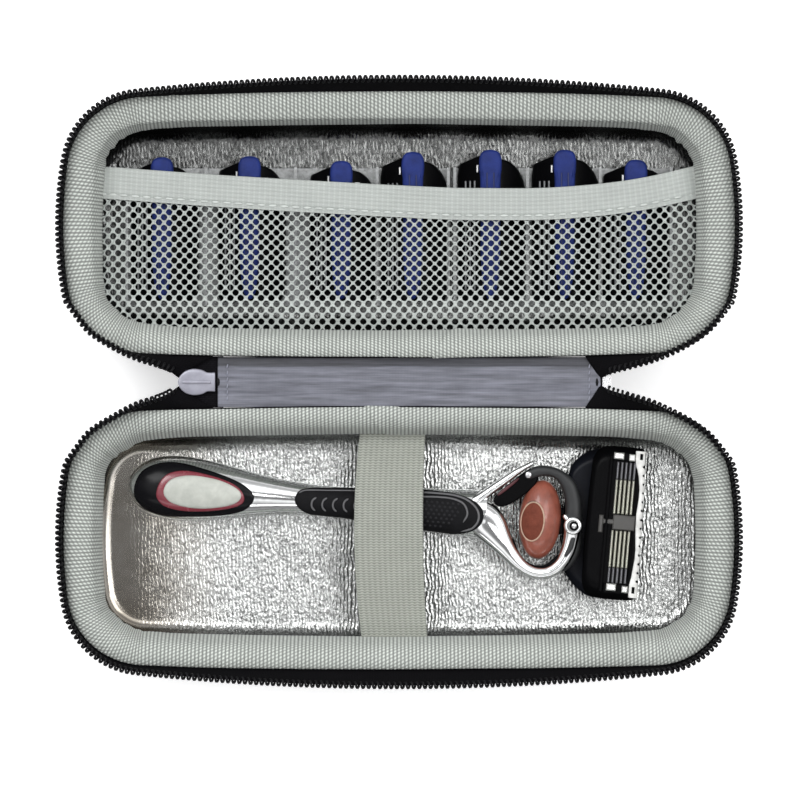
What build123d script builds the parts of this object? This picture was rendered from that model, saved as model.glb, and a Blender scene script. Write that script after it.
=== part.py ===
from build123d import *
from math import atan2, cos, hypot, radians, sin, sqrt, tan
import os

# Zipped hard case, standing open flat, with a manual razor and its spare cartridges.
# Frame: X runs along the case, +Y points from the lower half to the upper half, +Z is up.
# The origin is on the table, under the middle of the fabric spine that joins the halves.
# Millimetres.

# ---- case halves -----------------------------------------------------------------------
RIM_HALF_X = 94.5          # half the length of one half, at its rim
RIM_HALF_Y = 37.25         # half the depth of one half, at its rim
RIM_LONG_R = 2500.0        # the long sides bow out on this radius
RIM_SHORT_R = 120.0        # the short sides bow out on this radius
RIM_CORNER_R = 22.0        # corners of the rim
HALF_HEIGHT = 23.0         # table to rim
DRAFT = 15.0               # slope of the walls, degrees
COVER_T = 0.8              # woven outer cover
CORE_T = 4.0               # moulded foam core
LINER_T = 0.4              # foil liner
BOTTOM_R = 9.0             # outer radius between the walls and the bottom

# ---- fabric spine and hinge lines ------------------------------------------------------
SPINE_HALF_W = 6.5         # from the middle of the spine to each fold line
PANEL_LEFT_IN = 43.8       # left end of the inside spine panel, from the rim's end
PANEL_RIGHT_IN = 39.0      # right end of the inside spine panel, from the rim's end
PANEL_T = 1.0              # inside spine panel
PANEL_DROP = 0.4           # panel top below the rim
BACKING_T = 0.8            # outside spine fabric
FOLD_GAP = 0.3             # from the spine pieces to each fold line

# ---- binding ---------------------------------------------------------------------------
BIND_RISE = 1.3            # binding above the rim
BIND_DEPTH = 9.0           # how far the binding reaches down the inside wall
BIND_T = 2.0               # padded thickness of the binding on the inside wall
BIND_TOP_R = 2.6           # roll of the inner top edge
BIND_OUTER_R = 0.9         # roll of the outer top edge
BIND_FOOT_R = 1.2          # roll of the lower edge
BIND_FOLD_IN = 32.5        # straight edge along the fold line, from the rim's ends
BIND_FOLD_W = 3.0
BIND_FOLD_H = 0.9
SOFT_GAP = 0.35            # between soft pieces and what they move beside

# ---- zip -------------------------------------------------------------------------------
TAPE_T = 0.8               # zip tape
HINGE_CUT_W = 6.0          # the tape's standing ends stay clear of the fold line by this
COIL_OUT_X = 1.8           # the coil stands out beyond the rim's ends
COIL_OUT_Y = 5.05          # and beyond its long sides
COIL_LONG_R = 700.0        # bow of the coil along the long sides
COIL_SHORT_R = 110.0       # bow of the coil along the short sides
COIL_CORNER_R = 24.0       # corners of the coil
COIL_W = 1.6               # coil width
COIL_EDGE = 0.4            # the coil stands out from the tape by this
COIL_H = 1.4               # coil height
COIL_GAP = 0.15            # half the gap between both coils of the shut case
TAPE_END_IN = 27.0         # the standing tape stops this far inside the rim's ends
PASS_GAP = 0.15            # the tape's ends pass each other with this to spare

# ---- zip slider and pull ---------------------------------------------------------------
SLIDER_L = 11.2            # nose of the slider to its neck end
SLIDER_PANEL_GAP = 0.4     # neck end of the slider to the spine panel
SLIDER_W = 7.4             # widest place of the slider
SLIDER_NECK_W = 5.6        # neck of the slider
SLIDER_PLATE_T = 0.9       # each of the two plates
SLIDER_CHANNEL = 2.0       # between the plates
SLIDER_DROP = 1.0          # middle of the channel below the rim
SLIDER_LIP = 0.5           # side lips that keep the chain in
SLIDER_LIP_T = 0.6
SLIDER_LIP_GAP = 0.2       # from the lips to the parting chain at the end of the run
SLIDER_LIP_END = 1.0       # and end this far before the slider's neck end
WEDGE_GAP = 0.35           # from the wedge to the parting teeth
WEDGE_L = 1.6
WEDGE_HALF_W = 0.7
SLIDER_RIDGE_L = 6.4       # ridge along the slider's back
SLIDER_RIDGE_W = 1.3
SLIDER_RIDGE_H = 0.4
SLIDER_TRAVEL = 3.0        # straight run beside the spine
BAIL_L = 6.0               # bail length
BAIL_H = 2.8               # bail height below the slider
BAIL_W = 2.2               # bail width
BAIL_T = 0.9               # bail thickness
PULL_L = 16.5              # pull, from its bar to its end
PULL_W = 6.2               # pull width
PULL_T = 1.2               # pull thickness
PULL_BAR_R = 0.6           # round bar inside the bail
PULL_PLAY = 0.3            # play around the bail
PULL_HOLE_L = 3.2          # slot near the pull's end
PULL_HOLE_W = 1.8

CHAIN_T = 1.5              # thickness of the closed chain
CHAIN_W = 3.0              # width of the closed chain
CHAIN_TAPE_T = 0.7         # tape beside the chain
CHAIN_FORK_L = 9.5         # the chain opens over this length
CHAIN_FORK_HALF_W = 5.7    # half the width of the open end of the fork
CHAIN_LEFT_OUT = 6.3       # left fork meets this far beyond the panel
CHAIN_FORK_LEG = 2.7       # length along X between the fork's outer and inner edges
CHAIN_RIGHT_OUT = 1.5      # right fork meets this far beyond the panel
CHAIN_STUB_INTO_FORK = 1.7 # the closed chain runs this far into each fork
STOP_L = 2.4               # bottom stop of the zip
STOP_T = 0.5

# ---- elastic strap ---------------------------------------------------------------------
STRAP_X = -1.9             # middle of the strap
STRAP_W = 19.6             # strap width
STRAP_T = 1.1              # strap thickness
STRAP_END_DROP = 7.6       # underside at the binding, below the rim
STRAP_OVER = 0.6           # underside over the razor's grip

# ---- mesh pocket -----------------------------------------------------------------------
MESH_T = 0.8               # mesh sheet
HEM_T = 1.8                # folded hem
HEM_W = 7.2                # hem width
HEM_SAG = 6.0              # how far the hem sags at its middle
HEM_TOP_OUT = 17.25        # top edge of the hem at its ends, beyond the half's middle
POCKET_FOOT_DROP = 8.1     # underside of the mesh at its sewn edge, below the rim
POCKET_OVER = 0.9          # underside of the mesh over the spares' bars
POCKET_SHOULDER_W = 4.8    # the mesh rises to that height over this width

# ---- razor handle ----------------------------------------------------------------------
# U runs along the handle to the head, V across it, from the middle of the handle's axis.
RAZOR_OFF_Y = 8.45         # the handle's axis crosses here, from the half's middle
RAZOR_TURN = -4.94         # and is turned by this angle about Z, degrees
REST_GAP = 0.3             # between loose pieces and what they lie on
TIP_ROOM = 18.3            # end of the handle, from the rim's end
TIP_W = 6.0
TIP_H = 5.0
BULB_END_IN = 4.7          # the bulb is nearly full here, from the handle's end
BULB_END_W = 14.6
BULB_END_H = 10.6
BULB_IN = 15.2             # widest place of the bulb
BULB_W = 18.2
BULB_H = 12.6
NECK_IN = 41.7             # slimmest place of the handle
NECK_W = 10.4
NECK_H = 8.6
GRIP_U = 2.0               # middle of the handle, under the strap
GRIP_W = 11.4
GRIP_H = 10.4
SHOULDER_BACK = 44.5       # the fork starts here, from the comb's edge
SHOULDER_W = 14.0
SHOULDER_H = 9.6
CAP_IN = 18.4              # middle of the black oval cap
CAP_L = 35.0
CAP_W = 16.6
RING_IN = 20.0             # middle of the red ring
RING_L = 25.6
RING_W = 12.8
INLAY_IN = 20.6            # middle of the white inlay
INLAY_L = 22.0
INLAY_W = 10.0
SKIN_T = 0.6               # caps and pads stand proud of the handle
SKIN_RIM = 0.8             # lower edge of the caps and pads, from the handle's axis
PAD_MEET_U = 3.15          # the grip pads meet here, under the strap
PAD_GAP = 0.3              # between the grip pads
REAR_PAD_IN = 4.5          # rear grip pad, from the slimmest place
REAR_PAD_W = 9.4
FRONT_PAD_IN = 0.6         # front grip pad, from the fork's start
FRONT_PAD_W = 12.2

# ---- fork and ball pivot ---------------------------------------------------------------
FORK_BACK = 28.6           # middle of the fork's ring
FORK_HALF_U = 12.0
FORK_HALF_V = 16.2
FORK_HOLE_BACK = 30.2      # middle of the hole that the ball sits in
FORK_HOLE_HALF_U = 8.4
FORK_HOLE_HALF_V = 12.7
FORK_CROTCH_BACK = 40.4    # the arms part here
FORK_CROTCH_R = 1.2
FORK_FOOT = -0.8           # underside of the fork, from the handle's axis
FORK_HEAD = 4.4            # top of the chrome arms
GUARD_HEAD = 3.6           # top of the black part of the ring
GUARD_LEAN = 4.0           # the black part ends this far before the ring's top
EYE_BACK = 19.3            # eyelet at the end of the long arm
EYE_V = -1.0
EYE_R = 2.9
EYE_HEAD = 5.2
PIN_R = 1.1
PIN_PROUD = 0.5
ARM_PIN_BACK = 35.1        # pin of the short arm
ARM_PIN_V = 12.2
BALL_BACK = 29.1           # middle of the ball
BALL_R = 5.9               # round about its long axis
BALL_HALF_V = 11.2
BALL_RISE = 0.5            # middle of the ball above the handle's axis
BUTTON_BACK = 31.4         # oval push button on the ball
BUTTON_L = 6.4
BUTTON_W = 10.0
BUTTON_PROUD = 0.8
BUTTON_DEPTH = 2.4         # the button reaches this far down from its top
BUTTON_TRAVEL = 0.8
BUTTON_GAP = 0.2

# ---- head bracket and cartridge --------------------------------------------------------
BRACKET_FOOT = -4.4        # underside of the bracket, from the handle's axis
BRACKET_HEAD = -1.6
BRACKET_R = 5.0            # round seat under the ball
BRACKET_NECK_W = 6.6
WING_LEFT_BACK = 19.2      # round back of the bracket's wing
WING_RIGHT_BACK = 15.8     # flat front of the wing
WING_HALF_V = 18.5
ROD_BACK = 13.0            # pivot rod of the cartridge
ROD_RISE = -3.6
ROD_R = 1.1
ROD_L = 13.0
ROD_GAP = 0.15
LUG_R = 2.0
LUG_T = 2.4
LUG_GAP = 0.4
HEAD_W = 15.4              # cartridge, from back to comb
HEAD_ROOM = 25.5           # comb's edge of the cartridge, from the rim's end
HEAD_FOOT = -1.3
HEAD_HEAD = 6.2
HEAD_CORNER_R = 2.0
BLADE_L = 42.0             # length of the cartridge
DECK_BACK = 6.1            # middle of the blades
DECK_W = 6.4
DECK_END = 2.2             # frame left beyond the blades
DECK_DEPTH = 1.2
BLADE_COUNT = 5
BLADE_PITCH = 1.2
BLADE_T = 0.5
COMB_W = 2.6
COMB_T = 1.6
CLIP_BACK_IN = 7.4         # retaining clips at each end, from the comb's edge
CLIP_FRONT_IN = 4.0
CLIP_W = 2.3
CLIP_L = 2.6
CLIP_T = 0.4

# ---- spare cartridges ------------------------------------------------------------------
LEFT_TRAY_COUNT = 4        # spares in the left tray
SPARE_END_IN = 27.5        # middle of the first and the last spare, from the rim's ends
SPARE_SHIFTS = (0.3, 2.6, 6.1, 3.9, 3.4, 2.0, -0.3)    # along X, from an even row
SPARE_ROOM_Y = 16.25       # between the spares' ends and the rim
SPARE_GAP = 1.6            # between the closest spares
SPARE_OFF_Y = 0.25         # the spares lie this far from the half's middle
SPARE_RIDGE_H = 8.2        # seat of the bar above the tray
SPARE_EDGE_H = 2.6         # height of the sloping sides at their edges
SPARE_BACK_RISE = 1.4      # bulge of the round back
SPARE_CORNER_R = 6.0
BAR_W = 5.4                # blue lubricating bar
BAR_H = 2.4
SPARE_BLADE_L = 33.0
SPARE_BLADE_RISE = 0.6
TRAY_T = 0.6
TRAY_EDGE = 1.0            # tray beyond the spares, at their near ends
TRAY_SHORT = 4.0           # the spares stand out of the tray by this
RIB_H = 7.0
RIB_T = 0.8
RIB_GAP = 0.4

LEVEL_TOL = 0.01           # edges this close to a height lie at it

# ---- derived places --------------------------------------------------------------------
CENTRE_Y = SPINE_HALF_W + RIM_HALF_Y
COIL_HALF_X = RIM_HALF_X + COIL_OUT_X
COIL_HALF_Y = RIM_HALF_Y + COIL_OUT_Y
TAPE_END = RIM_HALF_X - TAPE_END_IN
BIND_FOLD_L = RIM_HALF_X - BIND_FOLD_IN
PANEL_LEFT = PANEL_LEFT_IN - RIM_HALF_X
PANEL_RIGHT = RIM_HALF_X - PANEL_RIGHT_IN
WALL_T = COVER_T + CORE_T + LINER_T
FLOOR_Z = WALL_T
SHUT_HEIGHT = 2 * HALF_HEIGHT + 2 * SPINE_HALF_W
COIL_TOP_Z = SHUT_HEIGHT / 2 - COIL_GAP
COIL_FOOT_Z = COIL_TOP_Z - COIL_H
WALL_SLOPE = tan(radians(DRAFT))
PANEL_TOP_Z = HALF_HEIGHT - PANEL_DROP
PANEL_HALF_W = SPINE_HALF_W - FOLD_GAP
SLIDER_RIGHT = PANEL_LEFT - SLIDER_PANEL_GAP
SLIDER_LEFT = SLIDER_RIGHT - SLIDER_L
CHAIN_LEFT_APEX = PANEL_LEFT - CHAIN_LEFT_OUT
CHAIN_RIGHT_APEX = PANEL_RIGHT + CHAIN_RIGHT_OUT
PANEL_L = PANEL_RIGHT - PANEL_LEFT
PANEL_X = (PANEL_LEFT + PANEL_RIGHT) / 2
CHANNEL_Z = HALF_HEIGHT - SLIDER_DROP
SLIDER_UNDER_Z = CHANNEL_Z - SLIDER_CHANNEL / 2 - SLIDER_PLATE_T
SLIDER_TOP_Z = CHANNEL_Z + SLIDER_CHANNEL / 2 + SLIDER_PLATE_T
BAIL_X = (SLIDER_LEFT + SLIDER_RIGHT) / 2
PULL_AXIS_Z = SLIDER_UNDER_Z - BAIL_H + BAIL_T + PULL_BAR_R + PULL_PLAY
HEM_TOP_Y = CENTRE_Y + HEM_TOP_OUT
RAZOR_Y = RAZOR_OFF_Y - CENTRE_Y
RAZOR_FLOOR = FLOOR_Z + REST_GAP
AXIS_Z = RAZOR_FLOOR + BULB_H / 2
STRAP_END_Z = HALF_HEIGHT - STRAP_END_DROP
STRAP_MID_Z = AXIS_Z + GRIP_H / 2 + SKIN_T + STRAP_OVER
TIP_U = TIP_ROOM - RIM_HALF_X
HEAD_RIGHT_U = RIM_HALF_X - HEAD_ROOM
BULB_END_U = TIP_U + BULB_END_IN
BULB_U = TIP_U + BULB_IN
NECK_U = TIP_U + NECK_IN
CAP_U = TIP_U + CAP_IN
RING_U = TIP_U + RING_IN
INLAY_U = TIP_U + INLAY_IN
SHOULDER_U = HEAD_RIGHT_U - SHOULDER_BACK
REAR_PAD_L = PAD_MEET_U - PAD_GAP / 2 - NECK_U - REAR_PAD_IN
REAR_PAD_U = NECK_U + REAR_PAD_IN + REAR_PAD_L / 2
FRONT_PAD_L = SHOULDER_U - FRONT_PAD_IN - PAD_MEET_U - PAD_GAP / 2
FRONT_PAD_U = SHOULDER_U - FRONT_PAD_IN - FRONT_PAD_L / 2
FORK_U = HEAD_RIGHT_U - FORK_BACK
FORK_HOLE_U = HEAD_RIGHT_U - FORK_HOLE_BACK
FORK_CROTCH_U = HEAD_RIGHT_U - FORK_CROTCH_BACK
EYE_U = HEAD_RIGHT_U - EYE_BACK
ARM_PIN_U = HEAD_RIGHT_U - ARM_PIN_BACK
BALL_U = HEAD_RIGHT_U - BALL_BACK
BUTTON_U = HEAD_RIGHT_U - BUTTON_BACK
WING_LEFT_U = HEAD_RIGHT_U - WING_LEFT_BACK
WING_RIGHT_U = HEAD_RIGHT_U - WING_RIGHT_BACK
ROD_U = HEAD_RIGHT_U - ROD_BACK
HEAD_LEFT_U = HEAD_RIGHT_U - HEAD_W
DECK_U = HEAD_RIGHT_U - DECK_BACK
SPARE_FLOOR = FLOOR_Z + REST_GAP + TRAY_T
POCKET_FOOT_Z = HALF_HEIGHT - POCKET_FOOT_DROP
POCKET_TOP_Z = SPARE_FLOOR + SPARE_RIDGE_H + BAR_H + POCKET_OVER
SPARE_PITCH = 2 * (RIM_HALF_X - SPARE_END_IN) / (len(SPARE_SHIFTS) - 1)
SPARE_X = [SPARE_END_IN - RIM_HALF_X + place * SPARE_PITCH + shift
           for place, shift in enumerate(SPARE_SHIFTS)]
SPARE_W = min(after - before for before, after in zip(SPARE_X, SPARE_X[1:])) - SPARE_GAP
SPARE_L = 2 * (RIM_HALF_Y - SPARE_ROOM_Y)
SPARE_Y = CENTRE_Y - SPARE_OFF_Y
SPARE_END_Y = SPARE_Y + SPARE_L / 2
RIM = (RIM_HALF_X, RIM_HALF_Y, RIM_LONG_R, RIM_SHORT_R, RIM_CORNER_R)
COIL = (COIL_HALF_X, COIL_HALF_Y, COIL_LONG_R, COIL_SHORT_R, COIL_CORNER_R)
TURN = radians(RAZOR_TURN)
ALONG = Vector(cos(TURN), sin(TURN), 0)
ACROSS = Vector(-sin(TURN), cos(TURN), 0)

os.makedirs("parts", exist_ok=True)


def finish(piece, name):
    """Labels a finished piece and writes it."""
    piece.part.label = name
    export_step(piece.part, f"parts/{name}.step")


def bowed_outline(sizes, inset=0.0):
    """Eight tangent arcs: bowed long and short sides joined by round corners."""
    half_x, half_y, long_r, short_r, corner_r = (size - inset for size in sizes)
    long_c = half_y - long_r
    short_c = half_x - short_r
    # The corner's centre lies corner_r inside both bows.
    span = hypot(short_c, long_c)
    reach = long_r - corner_r
    along = (reach**2 - (short_r - corner_r) ** 2 + span**2) / (2 * span)
    across = sqrt(reach**2 - along**2)
    crossings = [
        ((along * short_c + side * across * long_c) / span,
         long_c - (along * long_c - side * across * short_c) / span)
        for side in (-1, 1)
    ]
    corner_x, corner_y = max(crossings, key=sum)
    long_end = atan2(corner_y - long_c, corner_x)
    short_end = atan2(corner_y, corner_x - short_c)
    middle = (long_end + short_end) / 2
    on_long = (long_r * cos(long_end), long_c + long_r * sin(long_end))
    on_corner = (corner_x + corner_r * cos(middle), corner_y + corner_r * sin(middle))
    on_short = (short_c + short_r * cos(short_end), short_r * sin(short_end))

    def at(point, side_x, side_y):
        return (point[0] * side_x, point[1] * side_y)

    for side in (1, -1):
        ThreePointArc(at(on_long, -side, side), (0, half_y * side), at(on_long, side, side))
        ThreePointArc(at(on_long, side, side), at(on_corner, side, side), at(on_short, side, side))
        ThreePointArc(at(on_short, side, side), (half_x * side, 0), at(on_short, side, -side))
        ThreePointArc(at(on_short, side, -side), at(on_corner, side, -side),
                      at(on_long, side, -side))


def case_plane(side, height):
    """Level plane at the middle of one half."""
    return Plane((0, side * CENTRE_Y, height))


def face_of(plane, sizes, inset=0.0):
    """Face of the bowed outline on a plane."""
    with BuildSketch(plane) as face:
        with BuildLine():
            bowed_outline(sizes, inset)
        make_face()
    return face.sketch


def edges_at(piece, height):
    """Edges that lie at one height."""
    return piece.edges().filter_by_position(Axis.Z, height - LEVEL_TOL, height + LEVEL_TOL)


def tub_block(side, inset, foot_z):
    """Solid block with drafted sides and a rounded bottom, up to the rim."""
    with BuildPart() as block:
        top = face_of(case_plane(side, HALF_HEIGHT), RIM, inset)
        extrude(top, amount=foot_z - HALF_HEIGHT, taper=DRAFT)
        fillet(edges_at(block, foot_z), BOTTOM_R - inset)
    return block.part


def shell_layer(name, side, outside, inside):
    """One layer of a moulded half, open at the rim."""
    with BuildPart() as layer:
        add(tub_block(side, outside, outside))
        add(tub_block(side, inside, inside), mode=Mode.SUBTRACT)
    finish(layer, name)


def binding(name, side):
    """Padded roll over the rim, with a skirt down the inside wall."""
    top_z = HALF_HEIGHT + BIND_RISE
    foot_z = HALF_HEIGHT - BIND_DEPTH
    mouth = WALL_T + BIND_T - BIND_RISE * WALL_SLOPE
    with BuildPart() as roll:
        roll_top = face_of(case_plane(side, HALF_HEIGHT), RIM, TAPE_T)
        extrude(roll_top, amount=BIND_RISE)
        skirt = face_of(case_plane(side, HALF_HEIGHT), RIM, WALL_T)
        extrude(skirt, amount=-BIND_DEPTH, taper=DRAFT)
        opening = face_of(case_plane(side, top_z), RIM, mouth)
        extrude(opening, amount=foot_z - top_z, taper=DRAFT, mode=Mode.SUBTRACT)
        fillet(roll.faces().sort_by(Axis.Z)[-1].inner_wires()[0].edges(), BIND_TOP_R)
        fillet(roll.faces().sort_by(Axis.Z)[-1].outer_wire().edges(), BIND_OUTER_R)
        fillet(roll.faces().sort_by(Axis.Z)[0].inner_wires()[0].edges(), BIND_FOOT_R)
        # The fold-line edge is straight, so that the spine panel meets it.
        with Locations((0, side * (SPINE_HALF_W + BIND_FOLD_W / 2), HALF_HEIGHT)):
            Box(2 * BIND_FOLD_L, BIND_FOLD_W, BIND_FOLD_H,
                align=(Align.CENTER, Align.CENTER, Align.MIN))
    finish(roll, name)


def hinge_side_cut(side):
    """Clears the tape and the coil beside the spine, and where they would meet on the way."""
    swing_y = sqrt(SPINE_HALF_W**2 - (COIL_TOP_Z - HALF_HEIGHT) ** 2)
    pass_y = SPINE_HALF_W - swing_y + PASS_GAP
    for reach_x, reach_y in ((TAPE_END, SPINE_HALF_W + HINGE_CUT_W), (COIL_HALF_X, pass_y)):
        with Locations((0, side * reach_y / 2, HALF_HEIGHT)):
            Box(2 * reach_x, reach_y, SHUT_HEIGHT,
                align=(Align.CENTER, Align.CENTER, Align.CENTER), mode=Mode.SUBTRACT)


def zip_tape(name, side):
    """Tape from the rim up and out to the coil."""
    with BuildPart() as tape:
        for inset, mode in ((0, Mode.ADD), (TAPE_T, Mode.SUBTRACT)):
            seam = face_of(case_plane(side, HALF_HEIGHT), RIM, inset)
            edge = face_of(case_plane(side, COIL_FOOT_Z), COIL, COIL_EDGE + inset)
            loft([seam, edge], ruled=True, mode=mode)
        hinge_side_cut(side)
    finish(tape, name)


def zip_coil(name, side):
    """Coil along the free edge of the tape."""
    with BuildPart() as coil:
        extrude(face_of(case_plane(side, COIL_FOOT_Z), COIL), amount=COIL_H)
        inside = face_of(case_plane(side, COIL_FOOT_Z), COIL, COIL_W)
        extrude(inside, amount=COIL_H, mode=Mode.SUBTRACT)
        hinge_side_cut(side)
    finish(coil, name)


# ---- both halves -----------------------------------------------------------------------
for half_side, half in ((-1, "lower"), (1, "upper")):
    core_out = COVER_T
    liner_out = COVER_T + CORE_T
    shell_layer(f"{half}_cover", half_side, 0, core_out)
    shell_layer(f"{half}_core", half_side, core_out, liner_out)
    shell_layer(f"{half}_liner", half_side, liner_out, WALL_T)
    binding(f"{half}_binding", half_side)
    zip_tape(f"{half}_zip_tape", half_side)
    zip_coil(f"{half}_zip_coil", half_side)

# ---- spine -----------------------------------------------------------------------------
with BuildPart() as hinge_panel:
    with Locations((PANEL_X, 0, PANEL_TOP_Z)):
        Box(PANEL_L, 2 * PANEL_HALF_W, PANEL_T, align=(Align.CENTER, Align.CENTER, Align.MAX))
finish(hinge_panel, "hinge_panel")

with BuildPart() as hinge_backing:
    with Locations((PANEL_X, 0, PANEL_TOP_Z - PANEL_T)):
        Box(PANEL_L, 2 * PANEL_HALF_W, BACKING_T, align=(Align.CENTER, Align.CENTER, Align.MAX))
finish(hinge_backing, "hinge_backing")


def chain_fork_face(plane, apex, outward, shrink=0.0):
    """Triangle between the parting chains, from its apex outward."""
    length = CHAIN_FORK_L - shrink
    half_w = CHAIN_FORK_HALF_W * length / CHAIN_FORK_L
    with BuildSketch(plane) as face:
        with BuildLine():
            start = apex + outward * shrink
            Polyline((start, 0), (start + outward * length, half_w),
                     (start + outward * length, -half_w), close=True)
        make_face()
    return face.sketch


FORKS = ((CHAIN_LEFT_APEX, -1, PANEL_LEFT), (CHAIN_RIGHT_APEX, 1, PANEL_RIGHT))

with BuildPart() as zip_chain_ends:
    chain_foot = Plane.XY.offset(CHANNEL_Z - CHAIN_T / 2)
    for apex, outward, panel_end in FORKS:
        extrude(chain_fork_face(chain_foot, apex, outward), amount=CHAIN_T)
        parting = chain_fork_face(chain_foot, apex, outward, CHAIN_FORK_LEG)
        extrude(parting, amount=CHAIN_T, mode=Mode.SUBTRACT)
        stub_end = apex + outward * CHAIN_STUB_INTO_FORK
        with Locations(((panel_end + stub_end) / 2, 0, CHANNEL_Z)):
            Box(abs(stub_end - panel_end), CHAIN_W, CHAIN_T)
finish(zip_chain_ends, "zip_chain_ends")

for (apex, outward, panel_end), gusset_name in zip(FORKS, ("left_gusset", "right_gusset")):
    with BuildPart() as gusset:
        gusset_end = apex + outward * CHAIN_FORK_L
        tape_foot = Plane.XY.offset(CHANNEL_Z - CHAIN_TAPE_T / 2)
        with Locations(((panel_end + gusset_end) / 2, 0, CHANNEL_Z)):
            Box(abs(gusset_end - panel_end), 2 * PANEL_HALF_W, CHAIN_TAPE_T)
        extrude(chain_fork_face(tape_foot, apex, outward), amount=CHAIN_TAPE_T, mode=Mode.SUBTRACT)
        stub_end = apex + outward * CHAIN_STUB_INTO_FORK
        with Locations(((panel_end + stub_end) / 2, 0, CHANNEL_Z)):
            Box(abs(stub_end - panel_end), CHAIN_W, CHAIN_TAPE_T, mode=Mode.SUBTRACT)
    finish(gusset, gusset_name)

with BuildPart() as zip_stop:
    for face_side in (-1, 1):
        with Locations((CHAIN_RIGHT_APEX + STOP_L / 2,
                        0, CHANNEL_Z + face_side * (CHAIN_T + STOP_T) / 2)):
            Box(STOP_L, CHAIN_W, STOP_T)
finish(zip_stop, "zip_stop")

# ---- slider and pull -------------------------------------------------------------------
with BuildPart() as zip_slider:
    for plate_foot in (SLIDER_UNDER_Z, SLIDER_TOP_Z - SLIDER_PLATE_T):
        with BuildSketch(Plane.XY.offset(plate_foot)) as plate:
            with BuildLine():
                shoulder_x = BAIL_X + SLIDER_W / 6
                Polyline((SLIDER_LEFT, SLIDER_NECK_W / 3), (BAIL_X - SLIDER_W / 6, SLIDER_W / 2),
                         (shoulder_x, SLIDER_W / 2), (SLIDER_RIGHT, SLIDER_NECK_W / 2),
                         (SLIDER_RIGHT, -SLIDER_NECK_W / 2), (shoulder_x, -SLIDER_W / 2),
                         (BAIL_X - SLIDER_W / 6, -SLIDER_W / 2), (SLIDER_LEFT, -SLIDER_NECK_W / 3),
                         close=True)
            make_face()
            fillet(plate.vertices(), SLIDER_NECK_W / 5)
        extrude(amount=SLIDER_PLATE_T)
    # Side lips leave a slot for the tape.
    lip_inner = SLIDER_NECK_W / 2 - SLIDER_LIP_T
    lip_reach = (lip_inner - SLIDER_LIP_GAP) * CHAIN_FORK_L / CHAIN_FORK_HALF_W
    lip_left = CHAIN_LEFT_APEX - lip_reach + SLIDER_TRAVEL
    for lip_side in (-1, 1):
        for lip_z in (-1, 1):
            with Locations(((lip_left + SLIDER_RIGHT - SLIDER_LIP_END) / 2,
                            lip_side * (SLIDER_NECK_W - SLIDER_LIP_T) / 2,
                            CHANNEL_Z + lip_z * (SLIDER_CHANNEL - SLIDER_LIP) / 2)):
                Box(SLIDER_RIGHT - SLIDER_LIP_END - lip_left, SLIDER_LIP_T, SLIDER_LIP)
    # The wedge that parts the teeth joins both plates.
    wedge_tip = CHAIN_LEFT_APEX - CHAIN_FORK_LEG - WEDGE_GAP
    with BuildSketch(Plane.XY.offset(CHANNEL_Z - SLIDER_CHANNEL / 2)):
        with BuildLine():
            Polyline((wedge_tip, 0), (wedge_tip - WEDGE_L, WEDGE_HALF_W),
                     (wedge_tip - WEDGE_L, -WEDGE_HALF_W), close=True)
        make_face()
    extrude(amount=SLIDER_CHANNEL)
    # Ridge along the back.
    with Locations((BAIL_X, 0, SLIDER_TOP_Z)):
        Box(SLIDER_RIDGE_L, SLIDER_RIDGE_W, SLIDER_RIDGE_H,
            align=(Align.CENTER, Align.CENTER, Align.MIN))
    # Bail under the slider.
    with Locations((BAIL_X, 0, SLIDER_UNDER_Z)):
        Box(BAIL_L, BAIL_W, BAIL_H, align=(Align.CENTER, Align.CENTER, Align.MAX))
        Box(BAIL_L - 2 * BAIL_T, BAIL_W, BAIL_H - BAIL_T,
            align=(Align.CENTER, Align.CENTER, Align.MAX), mode=Mode.SUBTRACT)
finish(zip_slider, "zip_slider")

with BuildPart() as zip_pull:
    pull_plane = Plane((BAIL_X, 0, PULL_AXIS_Z), x_dir=(0, 1, 0), z_dir=(1, 0, 0))
    slot_half_w = BAIL_W / 2 + PULL_PLAY
    slot_depth = hypot(BAIL_L / 2, BAIL_H) + PULL_PLAY
    with BuildSketch(pull_plane):
        with Locations((0, PULL_BAR_R)):
            Rectangle(PULL_W, PULL_L + PULL_BAR_R - PULL_W / 2, align=(Align.CENTER, Align.MAX))
        with Locations((0, PULL_W / 2 - PULL_L)):
            Circle(PULL_W / 2)
        with Locations((0, PULL_BAR_R)):
            Rectangle(2 * slot_half_w, PULL_BAR_R + slot_depth,
                      align=(Align.CENTER, Align.MAX), mode=Mode.SUBTRACT)
        with Locations((0, PULL_W / 2 - PULL_L)):
            SlotOverall(PULL_HOLE_L, PULL_HOLE_W, mode=Mode.SUBTRACT)
    extrude(amount=PULL_T / 2, both=True)
    with BuildSketch(Plane((BAIL_X, -slot_half_w, PULL_AXIS_Z), x_dir=(1, 0, 0),
                           z_dir=(0, 1, 0))):
        Circle(PULL_BAR_R)
    extrude(amount=2 * slot_half_w)
finish(zip_pull, "zip_pull")

# ---- elastic strap ---------------------------------------------------------------------
strap_reach = RIM_HALF_Y - WALL_T - BIND_T - SOFT_GAP
strap_reach -= (HALF_HEIGHT - STRAP_END_Z) * WALL_SLOPE
with BuildPart() as elastic_strap:
    strap_plane = Plane((STRAP_X - STRAP_W / 2, -CENTRE_Y, 0), x_dir=(0, 1, 0), z_dir=(1, 0, 0))
    with BuildSketch(strap_plane):
        with BuildLine():
            strap_under = ThreePointArc((-strap_reach, STRAP_END_Z), (0, STRAP_MID_Z),
                                        (strap_reach, STRAP_END_Z))
            strap_over = ThreePointArc((-strap_reach, STRAP_END_Z + STRAP_T),
                                       (0, STRAP_MID_Z + STRAP_T),
                                       (strap_reach, STRAP_END_Z + STRAP_T))
            Line(strap_under @ 0, strap_over @ 0)
            Line(strap_under @ 1, strap_over @ 1)
        make_face()
    extrude(amount=STRAP_W)
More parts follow.
